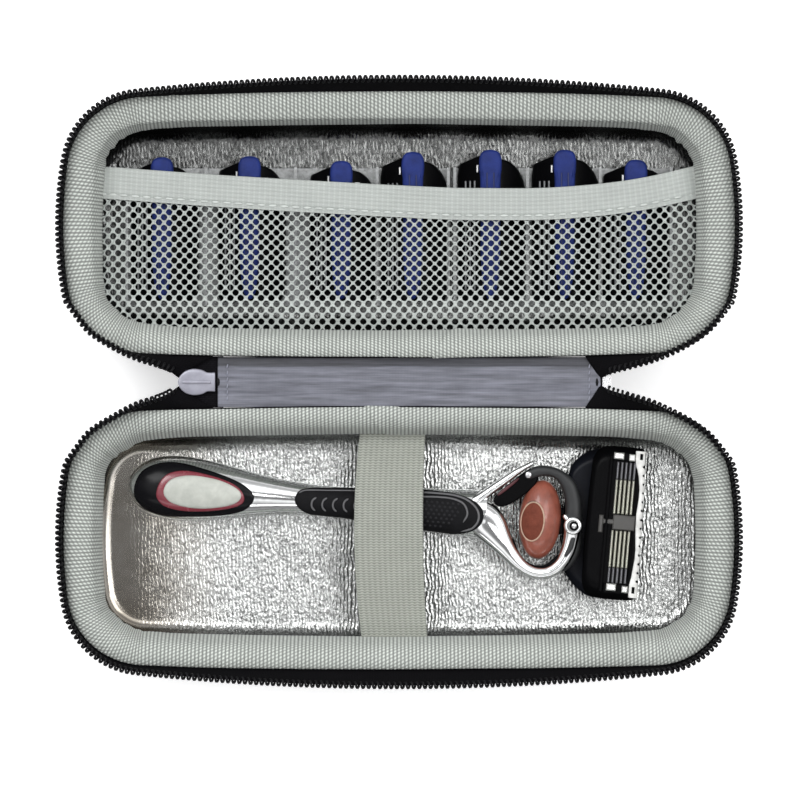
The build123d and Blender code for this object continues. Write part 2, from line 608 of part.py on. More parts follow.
finish(elastic_strap, "elastic_strap")

# ---- mesh pocket -----------------------------------------------------------------------
pocket_inset = WALL_T + BIND_T + SOFT_GAP + (HALF_HEIGHT - POCKET_FOOT_Z) * WALL_SLOPE
pocket_end_x = RIM_HALF_X - pocket_inset


def hem_strip(top_y, bottom_y):
    """Strip across the case between two sagging arcs."""
    with BuildSketch() as strip:
        with BuildLine():
            upper_arc = ThreePointArc((-RIM_HALF_X, top_y), (0, top_y - HEM_SAG),
                                      (RIM_HALF_X, top_y))
            lower_arc = ThreePointArc((-RIM_HALF_X, bottom_y), (0, bottom_y - HEM_SAG),
                                      (RIM_HALF_X, bottom_y))
            Line(upper_arc @ 0, lower_arc @ 0)
            Line(upper_arc @ 1, lower_arc @ 1)
        make_face()
    return strip.sketch


with BuildPart() as pocket_hem:
    extrude(face_of(case_plane(1, 0), RIM, pocket_inset), amount=HALF_HEIGHT)
    extrude(hem_strip(HEM_TOP_Y, HEM_TOP_Y - HEM_W), amount=HALF_HEIGHT, mode=Mode.INTERSECT)
    with Locations((0, CENTRE_Y, POCKET_TOP_Z + (MESH_T - HEM_T) / 2)):
        Box(2 * RIM_HALF_X, 2 * RIM_HALF_Y, HEM_T,
            align=(Align.CENTER, Align.CENTER, Align.MIN), mode=Mode.INTERSECT)
finish(pocket_hem, "pocket_hem")

with BuildPart() as mesh_pocket:
    pocket_foot_y = CENTRE_Y - RIM_HALF_Y + pocket_inset
    pocket_shoulder_y = pocket_foot_y + POCKET_SHOULDER_W
    with BuildSketch(Plane((-pocket_end_x, 0, 0), x_dir=(0, 1, 0), z_dir=(1, 0, 0))):
        with BuildLine():
            Polyline((pocket_foot_y, POCKET_FOOT_Z), (pocket_shoulder_y, POCKET_TOP_Z),
                     (HEM_TOP_Y, POCKET_TOP_Z), (HEM_TOP_Y, POCKET_TOP_Z + MESH_T),
                     (pocket_shoulder_y, POCKET_TOP_Z + MESH_T),
                     (pocket_foot_y, POCKET_FOOT_Z + MESH_T), close=True)
        make_face()
    extrude(amount=2 * pocket_end_x)
    pocket_plan = face_of(case_plane(1, 0), RIM, pocket_inset)
    extrude(pocket_plan, amount=HALF_HEIGHT, mode=Mode.INTERSECT)
    extrude(hem_strip(HEM_TOP_Y - HEM_W, 0), amount=HALF_HEIGHT, mode=Mode.INTERSECT)
finish(mesh_pocket, "mesh_pocket")

# ---- razor handle ----------------------------------------------------------------------
RAZOR = Plane((0, RAZOR_Y, 0), x_dir=ALONG, z_dir=(0, 0, 1))
HANDLE_SECTIONS = (
    (TIP_U, TIP_W, TIP_H),
    (BULB_END_U, BULB_END_W, BULB_END_H),
    (BULB_U, BULB_W, BULB_H),
    (NECK_U, NECK_W, NECK_H),
    (GRIP_U, GRIP_W, GRIP_H),
    (SHOULDER_U, SHOULDER_W, SHOULDER_H),
)


def razor_place(u, v, height):
    """Point of the razor in the case's frame."""
    return RAZOR.from_local_coords(Vector(u, v, height))


def handle_solid(grow=0.0, mode=Mode.ADD):
    """The handle's round body, thicker by grow on every side."""
    sections = []
    for u, width, thickness in HANDLE_SECTIONS:
        with BuildSketch(Plane(razor_place(u, 0, AXIS_Z), x_dir=ACROSS, z_dir=ALONG)) as section:
            Ellipse(width / 2 + grow, thickness / 2 + grow)
        sections.append(section.sketch)
    loft(sections, mode=mode)


def handle_skin(name, inner, outer, shapes):
    """A piece that wraps the top of the handle: a base shape, with cut-outs after it."""
    with BuildPart() as skin:
        handle_solid(outer)
        with BuildSketch(RAZOR.offset(AXIS_Z + SKIN_RIM)):
            for (u, length, width), mode in zip(shapes, (Mode.ADD, Mode.SUBTRACT)):
                with Locations((u, 0)):
                    Ellipse(length / 2, width / 2, mode=mode)
        extrude(amount=BULB_H, mode=Mode.INTERSECT)
        handle_solid(inner, Mode.SUBTRACT)
    finish(skin, name)


with BuildPart() as razor_handle:
    handle_solid()
finish(razor_handle, "razor_handle")

handle_skin("handle_cap", 0, SKIN_T, ((CAP_U, CAP_L, CAP_W), (RING_U, RING_L, RING_W)))
handle_skin("cap_ring", 0, SKIN_T, ((RING_U, RING_L, RING_W), (INLAY_U, INLAY_L, INLAY_W)))
handle_skin("cap_inlay", 0, SKIN_T, ((INLAY_U, INLAY_L, INLAY_W),))
handle_skin("rear_grip", 0, SKIN_T, ((REAR_PAD_U, REAR_PAD_L, REAR_PAD_W),))
handle_skin("front_grip", 0, SKIN_T, ((FRONT_PAD_U, FRONT_PAD_L, FRONT_PAD_W),))

# ---- fork and ball pivot ---------------------------------------------------------------


def fork_plan(plane):
    """Plan of the fork's ring and arms."""
    with BuildSketch(plane) as face:
        with Locations((FORK_U, 0)):
            Ellipse(FORK_HALF_U, FORK_HALF_V)
        with Locations((SHOULDER_U, 0)):
            Rectangle(FORK_CROTCH_R, SHOULDER_W, align=(Align.MIN, Align.CENTER))
        make_hull()
        with BuildSketch(mode=Mode.SUBTRACT):
            with Locations((FORK_HOLE_U, 0)):
                Ellipse(FORK_HOLE_HALF_U, FORK_HOLE_HALF_V)
            with Locations((FORK_CROTCH_U, 0)):
                Circle(FORK_CROTCH_R)
            make_hull()
    return face.sketch


def guard_sector():
    """Corner of the plan in which the ring is black."""
    far = 2 * FORK_HALF_V
    with BuildSketch(RAZOR) as face:
        with BuildLine():
            Polyline((FORK_U, EYE_V), (FORK_U + far, EYE_V), (FORK_U + far, far),
                     (FORK_U - GUARD_LEAN, far), close=True)
        make_face()
    return face.sketch


with BuildPart() as razor_fork:
    extrude(fork_plan(RAZOR.offset(AXIS_Z + FORK_FOOT)), amount=FORK_HEAD - FORK_FOOT)
    extrude(guard_sector(), amount=SHUT_HEIGHT, mode=Mode.SUBTRACT)
    with BuildSketch(RAZOR.offset(AXIS_Z + FORK_FOOT)):
        with Locations((EYE_U, EYE_V)):
            Circle(EYE_R)
    extrude(amount=EYE_HEAD - FORK_FOOT)
finish(razor_fork, "razor_fork")

with BuildPart() as ring_guard:
    extrude(fork_plan(RAZOR.offset(AXIS_Z + FORK_FOOT)), amount=GUARD_HEAD - FORK_FOOT)
    extrude(guard_sector(), amount=SHUT_HEIGHT, mode=Mode.INTERSECT)
    with BuildSketch(RAZOR):
        with Locations((EYE_U, EYE_V)):
            Circle(EYE_R)
    extrude(amount=SHUT_HEIGHT, mode=Mode.SUBTRACT)
finish(ring_guard, "ring_guard")

with BuildPart() as fork_pins:
    for pin_u, pin_v, pin_head in ((EYE_U, EYE_V, EYE_HEAD), (ARM_PIN_U, ARM_PIN_V, FORK_HEAD)):
        with BuildSketch(RAZOR.offset(AXIS_Z + pin_head)):
            with Locations((pin_u, pin_v)):
                Circle(PIN_R)
        extrude(amount=PIN_PROUD)
finish(fork_pins, "fork_pins")


def button_face(plane, grow=0.0):
    """Plan of the oval button."""
    with BuildSketch(plane) as face:
        with Locations((BUTTON_U, 0)):
            Ellipse(BUTTON_L / 2 + grow, BUTTON_W / 2 + grow)
    return face.sketch


def ball_solid(grow=0.0):
    """The ball: round about its long axis, thicker by grow."""
    with BuildPart() as ball:
        Sphere(1)
        scale(by=(BALL_R + grow, BALL_HALF_V + grow, BALL_R + grow))
    centre = razor_place(BALL_U, 0, AXIS_Z + BALL_RISE)
    return ball.part.moved(Location(Plane(centre, x_dir=ALONG, z_dir=(0, 0, 1))))


button_top = BALL_RISE + BALL_R + BUTTON_PROUD
button_foot = button_top - BUTTON_DEPTH

with BuildPart() as pivot_ball:
    add(ball_solid())
    split(bisect_by=RAZOR.offset(AXIS_Z + BRACKET_HEAD), keep=Keep.TOP)
    pocket_foot = button_foot - BUTTON_TRAVEL - BUTTON_GAP
    button_pocket = button_face(RAZOR.offset(AXIS_Z + pocket_foot), BUTTON_GAP)
    extrude(button_pocket, amount=2 * BALL_R, mode=Mode.SUBTRACT)
finish(pivot_ball, "pivot_ball")

with BuildPart() as ball_button:
    add(ball_solid(BUTTON_PROUD))
    button_plan = button_face(RAZOR.offset(AXIS_Z + button_foot))
    extrude(button_plan, amount=2 * BALL_R, mode=Mode.INTERSECT)
finish(ball_button, "ball_button")

# ---- head bracket and cartridge --------------------------------------------------------


def across_cylinder(u, height, radius, v_from, v_to, mode=Mode.ADD):
    """Round bar across the handle."""
    start = Plane(razor_place(u, v_from, AXIS_Z + height), x_dir=ALONG, z_dir=ACROSS)
    with BuildSketch(start) as end_face:
        Circle(radius)
    extrude(end_face.sketch, amount=v_to - v_from, mode=mode)


boss_half_v = BRACKET_NECK_W / 2

with BuildPart() as head_bracket:
    with BuildSketch(RAZOR.offset(AXIS_Z + BRACKET_FOOT)):
        with Locations((BALL_U, 0)):
            Circle(BRACKET_R)
            Rectangle(ROD_U - BALL_U, BRACKET_NECK_W, align=(Align.MIN, Align.CENTER))
        with BuildLine():
            wing_back = ThreePointArc((WING_RIGHT_U, -WING_HALF_V), (WING_LEFT_U, 0),
                                      (WING_RIGHT_U, WING_HALF_V))
            Line(wing_back @ 1, wing_back @ 0)
        make_face()
    extrude(amount=BRACKET_HEAD - BRACKET_FOOT)
    across_cylinder(ROD_U, ROD_RISE, LUG_R, -boss_half_v, boss_half_v)
    across_cylinder(ROD_U, ROD_RISE, ROD_R, -boss_half_v, boss_half_v, Mode.SUBTRACT)
finish(head_bracket, "head_bracket")

with BuildPart() as head_rod:
    across_cylinder(ROD_U, ROD_RISE, ROD_R, -ROD_L / 2, ROD_L / 2)
finish(head_rod, "head_rod")

head_mid_u = (HEAD_LEFT_U + HEAD_RIGHT_U) / 2
deck_l = BLADE_L - 2 * DECK_END

with BuildPart() as head_frame:
    with BuildSketch(RAZOR.offset(AXIS_Z + HEAD_FOOT)):
        with Locations((head_mid_u, 0)):
            RectangleRounded(HEAD_RIGHT_U - HEAD_LEFT_U, BLADE_L, HEAD_CORNER_R)
    extrude(amount=HEAD_HEAD - HEAD_FOOT)
    with BuildSketch(RAZOR.offset(AXIS_Z + HEAD_HEAD - DECK_DEPTH)):
        with Locations((DECK_U, 0)):
            Rectangle(DECK_W, deck_l)
    extrude(amount=DECK_DEPTH, mode=Mode.SUBTRACT)
    with BuildSketch(RAZOR.offset(AXIS_Z + HEAD_HEAD - COMB_T)):
        with Locations((HEAD_RIGHT_U, 0)):
            Rectangle(COMB_W, BLADE_L, align=(Align.MAX, Align.CENTER))
    extrude(amount=COMB_T, mode=Mode.SUBTRACT)
    for lug_side in (-1, 1):
        lug_from = lug_side * (boss_half_v + LUG_GAP)
        lug_to = lug_side * (boss_half_v + LUG_GAP + LUG_T)
        near, away = sorted((lug_from, lug_to))
        with BuildSketch(RAZOR.offset(AXIS_Z + ROD_RISE)):
            with Locations((ROD_U, (near + away) / 2)):
                Rectangle(2 * LUG_R, away - near)
        extrude(amount=HEAD_FOOT - ROD_RISE)
        across_cylinder(ROD_U, ROD_RISE, LUG_R, near, away)
        across_cylinder(ROD_U, ROD_RISE, ROD_R + ROD_GAP, near, away, Mode.SUBTRACT)
finish(head_frame, "head_frame")

with BuildPart() as head_blades:
    with BuildSketch(RAZOR.offset(AXIS_Z + HEAD_HEAD - DECK_DEPTH)):
        with Locations((DECK_U, 0)):
            with GridLocations(BLADE_PITCH, 0, BLADE_COUNT, 1):
                Rectangle(BLADE_T, deck_l)
    extrude(amount=DECK_DEPTH)
finish(head_blades, "head_blades")

with BuildPart() as head_comb:
    with BuildSketch(RAZOR.offset(AXIS_Z + HEAD_HEAD - COMB_T)):
        with Locations((HEAD_RIGHT_U, 0)):
            Rectangle(COMB_W, BLADE_L, align=(Align.MAX, Align.CENTER))
    extrude(amount=COMB_T + CLIP_T)
finish(head_comb, "head_comb")

with BuildPart() as head_clips:
    with BuildSketch(RAZOR.offset(AXIS_Z + HEAD_HEAD)):
        for clip_in in (CLIP_BACK_IN, CLIP_FRONT_IN):
            with Locations((HEAD_RIGHT_U - clip_in, 0)):
                with GridLocations(0, BLADE_L - CLIP_L, 1, 2):
                    Rectangle(CLIP_W, CLIP_L)
    extrude(amount=CLIP_T)
finish(head_clips, "head_clips")

# ---- spare cartridges ------------------------------------------------------------------


def spare_face(x, grow=0.0):
    """Section of a spare's frame: blade slope, bar seat and round back."""
    plane = Plane((x, SPARE_END_Y - SPARE_L, SPARE_FLOOR), x_dir=(-1, 0, 0), z_dir=(0, 1, 0))
    half_w = SPARE_W / 2
    seat = BAR_W / 2
    with BuildSketch(plane) as face:
        with BuildLine():
            Line((-half_w, 0), (half_w, 0))
            Line((half_w, 0), (half_w, SPARE_EDGE_H))
            Line((half_w, SPARE_EDGE_H), (seat, SPARE_RIDGE_H))
            Line((seat, SPARE_RIDGE_H), (-seat, SPARE_RIDGE_H))
            back_mid = (-(half_w + seat) / 2, (SPARE_EDGE_H + SPARE_RIDGE_H) / 2)
            ThreePointArc((-seat, SPARE_RIDGE_H), (back_mid[0], back_mid[1] + SPARE_BACK_RISE),
                          (-half_w, SPARE_EDGE_H))
            Line((-half_w, SPARE_EDGE_H), (-half_w, 0))
        make_face()
    return face.sketch


for number, spare_x in enumerate(SPARE_X, start=1):
    with BuildPart() as spare_frame:
        extrude(spare_face(spare_x), amount=SPARE_L)
        with BuildSketch(Plane((spare_x, SPARE_Y, SPARE_FLOOR))):
            RectangleRounded(SPARE_W, SPARE_L, SPARE_CORNER_R)
        extrude(amount=HALF_HEIGHT, mode=Mode.INTERSECT)
    finish(spare_frame, f"spare_{number}_frame")

    with BuildPart() as spare_bar:
        with BuildSketch(Plane((spare_x, SPARE_Y, SPARE_FLOOR + SPARE_RIDGE_H))):
            SlotOverall(SPARE_L, BAR_W, rotation=90)
        extrude(amount=BAR_H)
        fillet(spare_bar.edges().group_by(Axis.Z)[-1], BAR_H / 3)
    finish(spare_bar, f"spare_{number}_bar")

slope_rise = SPARE_RIDGE_H - SPARE_EDGE_H
slope_run = (SPARE_W - BAR_W) / 2
slope_x = -(SPARE_W + BAR_W) / 4
slope_z = (SPARE_RIDGE_H + SPARE_EDGE_H) / 2


def spare_blades(name, stations):
    """Blades of one tray's spares, on the slopes of their frames."""
    with BuildPart() as blades:
        for x in stations:
            middle = Vector(x + slope_x, SPARE_Y, SPARE_FLOOR + slope_z)
            slope = Plane(middle, x_dir=(slope_run, 0, slope_rise),
                          z_dir=(-slope_rise, 0, slope_run))
            with BuildSketch(slope):
                with GridLocations(BLADE_PITCH, 0, BLADE_COUNT, 1):
                    Rectangle(BLADE_T, SPARE_BLADE_L)
            extrude(amount=SPARE_BLADE_RISE)
    finish(blades, name)


def spare_tray(name, stations):
    """Clear tray with ribs between the spares."""
    rib_reach = SPARE_W / 2 + RIB_GAP
    left = stations[0] - rib_reach - RIB_T
    right = stations[-1] + rib_reach + RIB_T
    near = SPARE_END_Y - SPARE_L - TRAY_EDGE
    far = SPARE_END_Y - TRAY_SHORT
    between = [(one + other) / 2 for one, other in zip(stations, stations[1:])]
    ribs = [left + RIB_T / 2, *between, right - RIB_T / 2]
    with BuildPart() as tray:
        with Locations(((left + right) / 2, (near + far) / 2, SPARE_FLOOR)):
            Box(right - left, far - near, TRAY_T, align=(Align.CENTER, Align.CENTER, Align.MAX))
        for rib_x in ribs:
            with Locations((rib_x, (near + far) / 2, SPARE_FLOOR)):
                Box(RIB_T, far - near, RIB_H, align=(Align.CENTER, Align.CENTER, Align.MIN))
    finish(tray, name)


left_stations = SPARE_X[:LEFT_TRAY_COUNT]
right_stations = SPARE_X[LEFT_TRAY_COUNT:]
spare_blades("left_spare_blades", left_stations)
spare_blades("right_spare_blades", right_stations)
spare_tray("left_tray", left_stations)
spare_tray("right_tray", right_stations)
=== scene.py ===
"""Dresses the CAD frame of a zipped hard case with its fabrics, zip, razor and spares."""

from math import atan2, ceil, cos, hypot, pi, radians, sin, sqrt, tan, tanh

import bpy
import numpy as np
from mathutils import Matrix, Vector
from mathutils.bvhtree import BVHTree


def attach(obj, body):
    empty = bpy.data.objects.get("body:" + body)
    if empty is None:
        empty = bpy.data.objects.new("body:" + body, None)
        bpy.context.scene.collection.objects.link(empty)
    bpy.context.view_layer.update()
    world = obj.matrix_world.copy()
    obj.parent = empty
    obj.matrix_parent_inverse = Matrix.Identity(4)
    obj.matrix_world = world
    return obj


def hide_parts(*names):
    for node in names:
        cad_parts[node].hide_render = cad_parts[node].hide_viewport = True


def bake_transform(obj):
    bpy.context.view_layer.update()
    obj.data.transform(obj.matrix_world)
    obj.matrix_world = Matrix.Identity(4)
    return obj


bl_info = {
    "name": "Zipped Razor Case",
    "version": (1, 0, 0),
    "blender": (4, 5, 0),
    "location": "3D View > Sidebar > Razor Case",
    "description": "Fabrics, zip, razor and spare cartridges of a zipped hard case",
    "category": "Object",
}

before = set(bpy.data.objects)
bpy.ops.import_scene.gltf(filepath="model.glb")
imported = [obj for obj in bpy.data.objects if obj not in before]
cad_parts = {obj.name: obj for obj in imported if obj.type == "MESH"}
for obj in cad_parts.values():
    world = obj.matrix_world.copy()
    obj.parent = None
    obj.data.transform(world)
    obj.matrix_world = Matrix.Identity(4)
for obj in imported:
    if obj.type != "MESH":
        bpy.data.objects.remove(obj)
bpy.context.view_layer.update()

# ---- sizes shared with the frame, in millimetres ----
MM = 0.001
RIM = (94.5, 37.25, 2500.0, 120.0, 22.0)     # half length, half depth, bows, corner
COIL = (96.3, 42.3, 700.0, 110.0, 24.0)      # the same for the zip's coil
CENTRE_Y = 43.75                             # middle of a half, from the spine's middle
RIM_Z = 23.0
COIL_Z = 28.65                               # middle of the coil's turns
DRAFT = radians(15.0)                        # the walls lean out by this
COVER_R = 9.0                                # outer radius at the bottom
FLOOR = (86.0, 32.0)                         # the floor's tiles reach as far as this
PANEL = (-50.7, 55.5)                        # ends of the spine panel
APEX = (-60.5, 56.6)                         # the zip's sides meet here
SPINE_Z = 22.2                               # zip beside the spine
RAZOR_Y = -35.3                              # the razor's axis crosses the case's middle here
RAZOR_TURN = radians(-4.94)                  # and is turned by this
AXIS_Z = 11.8                                # at this height
SPARE_X = (-66.7, -42.07, -16.23, 3.9, 25.73, 46.67, 66.7)
SPARE_ENDS = (22.5, 64.5)
SPARE_FOOT = 6.1
BODY = {-1: "lower_half", 1: "upper_half"}   # side -1 holds the razor, side 1 the spares
HALF = {-1: "lower", 1: "upper"}


# ---- property groups ----
def length(name, description, value, low=0.0, high=0.1):
    """A length that a user may change, in metres."""
    return bpy.props.FloatProperty(name=name, description=description, default=value * MM,
                                   min=low, max=high, precision=5, subtype="DISTANCE",
                                   unit="LENGTH")


def colour(name, description, value):
    """A colour that a user may change."""
    return bpy.props.FloatVectorProperty(name=name, description=description, default=value,
                                         size=3, min=0.0, max=1.0, subtype="COLOR")


class CaseSizes(bpy.types.PropertyGroup):
    """Sizes of the weaves, stitches and teeth."""

    rib_pitch: length("Rib pitch", "Distance between the ribs of the binding", 1.07)
    rib_height: length("Rib height", "Height of the ribs of the binding", 0.08)
    tooth_pitch: length("Tooth pitch", "Distance between the turns of the zip's coil", 1.57)
    wire_radius: length("Coil wire", "Radius of the zip coil's wire", 0.38)
    hole_pitch: length("Hole pitch", "Distance between the holes of the pocket's mesh", 2.87)
    row_pitch: length("Row pitch", "Distance between the rows of holes", 1.66)
    hole_radius: length("Hole radius", "Radius of the holes of the pocket's mesh", 0.90)
    stitch_pitch: length("Stitch pitch", "Distance between the stitches of the hem", 3.3)
    foil_grain: length("Foil grain", "Size of the crumples in the foil liner", 0.95)
    foil_depth: length("Foil depth", "Depth of the crumples in the foil liner", 0.13)


class CaseColours(bpy.types.PropertyGroup):
    """Colours of the case and what it holds."""

    binding: colour("Binding", "Yarn of the grey binding", (0.52, 0.55, 0.515))
    cover: colour("Cover", "Outer fabric, zip tape and gussets", (0.0075, 0.007, 0.009))
    foil: colour("Foil", "Metallic face of the liner", (0.53, 0.54, 0.53))
    panel: colour("Spine panel", "Nylon of the spine panel", (0.165, 0.17, 0.205))
    strap: colour("Strap", "Elastic strap over the razor", (0.33, 0.345, 0.305))
    pocket: colour("Pocket", "Yarn of the pocket's mesh", (0.44, 0.47, 0.45))
    hem: colour("Hem", "Folded hem of the pocket", (0.43, 0.455, 0.435))
    slider: colour("Slider", "Painted metal of the zip slider", (0.29, 0.29, 0.34))
    chrome: colour("Chrome", "Plated handle and fork", (0.86, 0.87, 0.87))
    ball: colour("Ball", "Pivot ball", (0.245, 0.070, 0.045))
    ring: colour("Ring", "Coloured ring of the handle's cap", (0.18, 0.023, 0.036))
    inlay: colour("Inlay", "Pale inlay of the handle's cap", (0.43, 0.445, 0.405))
    bar: colour("Bar", "Lubricating bar of the spares", (0.012, 0.024, 0.135))


class StudioSettings(bpy.types.PropertyGroup):
    """Camera, light and floor."""

    camera_height: length("Camera height", "Camera above the case", 1500.0, 0.1, 10.0)
    view_width: length("View width", "Width that the camera takes in at the rim", 224.0, 0.05, 2.0)
    floor_colour: colour("Floor", "Pale floor", (0.93, 0.93, 0.93))


# ---- meshes ----
def make_piece(name, points, faces, uv=None, smooth=True):
    """A mesh object from points in millimetres. uv has one row for each corner of each face."""
    mesh = bpy.data.meshes.new(name)
    mesh.from_pydata((np.asarray(points, float).reshape(-1, 3) * MM).tolist(), [],
                     faces.tolist() if isinstance(faces, np.ndarray) else faces)
    if uv is not None:
        layer = mesh.uv_layers.new(name="weave")
        layer.data.foreach_set("uv", np.asarray(uv, np.float32).ravel())
    mesh.polygons.foreach_set("use_smooth", [smooth] * len(mesh.polygons))
    mesh.update()
    piece = bpy.data.objects.new(name, mesh)
    bpy.context.scene.collection.objects.link(piece)
    return piece


def unit(vectors):
    """The same vectors at a length of one."""
    return vectors / np.maximum(np.linalg.norm(vectors, axis=-1, keepdims=True), 1e-9)


def path_run(points):
    """Length along a path to each of its points."""
    return np.concatenate([[0], np.cumsum(np.linalg.norm(np.diff(points, axis=0), axis=-1))])


def grid_corners(rows, columns, wrap=False, flip=False):
    """Corner indices of a grid's faces, as (row, column) pairs before wrapping."""
    row, column = np.meshgrid(np.arange(rows - 1), np.arange(columns if wrap else columns - 1),
                              indexing="ij")
    row, column = row.ravel(), column.ravel()
    corners = np.stack([np.stack([row + a, column + b], -1)
                        for a, b in ((0, 0), (0, 1), (1, 1), (1, 0))], 1)
    return corners[:, ::-1] if flip else corners


def grid_piece(name, points, wrap=False, flip=False, across=None, along=None):
    """A grid of points, rows by columns by 3. across and along give the weave's coordinates."""
    rows, columns = points.shape[:2]
    corners = grid_corners(rows, columns, wrap, flip)
    faces = corners[..., 0] * columns + corners[..., 1] % columns
    uv = None
    if across is not None:
        wide = np.broadcast_to(along, (rows, columns + 1 if wrap else columns))
        tall = np.broadcast_to(np.reshape(across, (rows, 1)), (rows, columns))
        uv = np.stack([wide[corners[..., 0], corners[..., 1]],
                       tall[corners[..., 0], corners[..., 1] % columns]], -1).reshape(-1, 2)
    return make_piece(name, points, faces, uv)


def ring_faces(rings, sides, foot=0, head=0):
    """Faces between closed rings, and end faces: 1 runs with the ring, -1 against it, 0 none."""
    corners = grid_corners(rings, sides, wrap=True)
    faces = (corners[..., 0] * sides + corners[..., 1] % sides).tolist()
    for ring, way in ((0, foot), (rings - 1, head)):
        if way:
            faces.append([ring * sides + k for k in range(sides)][::way])
    return faces


def smooth_path(points, count):
    """Catmull-Rom curve through points of any dimension, in even steps of its parameter."""
    points = np.asarray(points, float)
    padded = np.vstack([2 * points[0] - points[1], points, 2 * points[-1] - points[-2]])
    place = np.linspace(0, len(points) - 1, count)
    index = np.minimum(place.astype(int), len(points) - 2)
    t = (place - index)[:, None]
    a, b, c, d = (padded[index + k] for k in range(4))
    return 0.5 * (2 * b + (c - a) * t + (2 * a - 5 * b + 4 * c - d) * t**2
                  + (3 * b - a - 3 * c + d) * t**3)


def even_path(points, step):
    """The same polyline in even steps of its length. Also returns the lengths."""
    points = np.asarray(points, float)
    run = path_run(points)
    count = max(2, int(ceil(run[-1] / step)) + 1)
    at = np.linspace(0, run[-1], count)
    return np.stack([np.interp(at, run, points[:, k]) for k in range(points.shape[1])], -1), at


def grain(points, size, seed):
    """Smooth noise from -1 to 1 at each point, with crumples of this size."""
    place = np.asarray(points, float) / np.asarray(size, float) + 37.7 * seed
    cell = np.floor(place).astype(np.int64)
    part = place - cell
    part = part * part * (3 - 2 * part)
    total = np.zeros(place.shape[:-1])
    primes = (374761393, 668265263, 1442695041)
    for corner in np.ndindex(*(2,) * place.shape[-1]):
        code = np.full(place.shape[:-1], seed * 97, np.int64)
        weight = np.ones(place.shape[:-1])
        for k, high in enumerate(corner):
            code = code + (cell[..., k] + high) * primes[k]
            weight = weight * (part[..., k] if high else 1 - part[..., k])
        code = ((code ^ (code >> 13)) * 1274126177) & 0x7FFFFFFF
        total += weight * (((code ^ (code >> 15)) & 0xFFFF) / 32767.5 - 1)
    return total


def surface_normals(points, wrap=False):
    """Unit normals of a grid of points."""
    if wrap:
        wide = np.roll(points, -1, 1) - np.roll(points, 1, 1)
    else:
        wide = np.gradient(points, axis=1)
    return unit(np.cross(wide, np.gradient(points, axis=0)))


# ---- the outline of a half ----
def outline_arcs(sizes):
    """Nine arcs from the middle of the fold side, anticlockwise: centre, radius, both angles."""
    half_x, half_y, long_r, short_r, corner_r = sizes
    long_c, short_c = half_y - long_r, half_x - short_r
    span, reach = hypot(short_c, long_c), long_r - corner_r
    along = (reach**2 - (short_r - corner_r) ** 2 + span**2) / (2 * span)
    across = sqrt(reach**2 - along**2)
    corner_x, corner_y = max(
        (((along * short_c + side * across * long_c) / span,
          long_c - (along * long_c - side * across * short_c) / span) for side in (-1, 1)),
        key=sum)
    steep, flat = atan2(corner_y - long_c, corner_x), atan2(corner_y, corner_x - short_c)
    return [
        (0, -long_c, long_r, -pi / 2, -steep),
        (corner_x, -corner_y, corner_r, -steep, -flat),
        (short_c, 0, short_r, -flat, flat),
        (corner_x, corner_y, corner_r, flat, steep),
        (0, long_c, long_r, steep, pi - steep),
        (-corner_x, corner_y, corner_r, pi - steep, pi - flat),
        (-short_c, 0, short_r, pi - flat, pi + flat),
        (-corner_x, -corner_y, corner_r, pi + flat, pi + steep),
        (0, -long_c, long_r, pi + steep, 3 * pi / 2),
    ]


def rim_stations(step):
    """Places along the outline as (arc, share of it), about step apart, and the length to each."""
    places, lengths, run = [], [], 0.0
    for number, (_, _, radius, start, end) in enumerate(outline_arcs(RIM)):
        reach = radius * (end - start)
        count = max(2, int(round(reach / step)))
        share = np.arange(count) / count
        places.append(np.stack([np.full(count, number), share], -1))
        lengths.append(run + share * reach)
        run += reach
    return np.vstack(places), np.concatenate(lengths), run


def outline_at(sizes, places, inset):
    """Points of an outline at those places, moved in by inset (a number, or rows of them)."""
    arcs = np.array(outline_arcs(sizes))[places[:, 0].astype(int)]
    angle = arcs[:, 3] + (arcs[:, 4] - arcs[:, 3]) * places[:, 1]
    radius = arcs[:, 2] - np.asarray(inset, float)
    return np.stack([arcs[:, 0] + radius * np.cos(angle),
                     arcs[:, 1] + radius * np.sin(angle)], -1)


def to_half(side, points):
    """Points of a half's own frame, whose Y points away from the spine, in the case's frame."""
    points = np.array(points, float)
    points[..., 1] = side * (points[..., 1] + CENTRE_Y)
    return points


def wall_profile(inset, steps, top):
    """Drafted wall and rounded foot of a tub as rows of inset and height, from its top down."""
    radius, foot = COVER_R - inset, inset
    tangent_z = foot + radius * (1 - sin(DRAFT))
    heights = np.linspace(top, tangent_z, steps)
    wall = np.stack([inset + (RIM_Z - heights) * tan(DRAFT), heights], -1)
    centre = wall[-1, 0] + radius * cos(DRAFT)
    turn = np.linspace(pi + DRAFT, 1.5 * pi, 9)[1:]
    return np.vstack([wall, np.stack([centre + radius * np.cos(turn),
                                      foot + radius + radius * np.sin(turn)], -1)])


def outline_rings(places, profile):
    """Rings of points round a half, one for each inset and height."""
    return np.stack([np.column_stack([outline_at(RIM, places, inset),
                                      np.full(len(places), height)]) for inset, height in profile])


def tub_points(places, profile, floor_rings, floor_z):
    """Wall rings from a profile, and floor rings that close on the middle line."""
    rings = outline_rings(places, profile)
    edge = rings[-1]
    middle = np.column_stack([np.clip(edge[:, 0], -58, 58) * 0.97, np.zeros(len(edge)),
                              np.full(len(edge), floor_z)])
    share = (np.arange(1, floor_rings + 1) / floor_rings)[:, None, None]
    return np.concatenate([rings, edge * (1 - share) + middle * share])


def smooth_round(values, reach):
    """Values round a closed outline, each evened out with so many on either side."""
    window = np.hanning(2 * reach + 1)
    return np.convolve(np.concatenate([values[-reach:], values, values[:reach]]),
                       window / window.sum(), "valid")


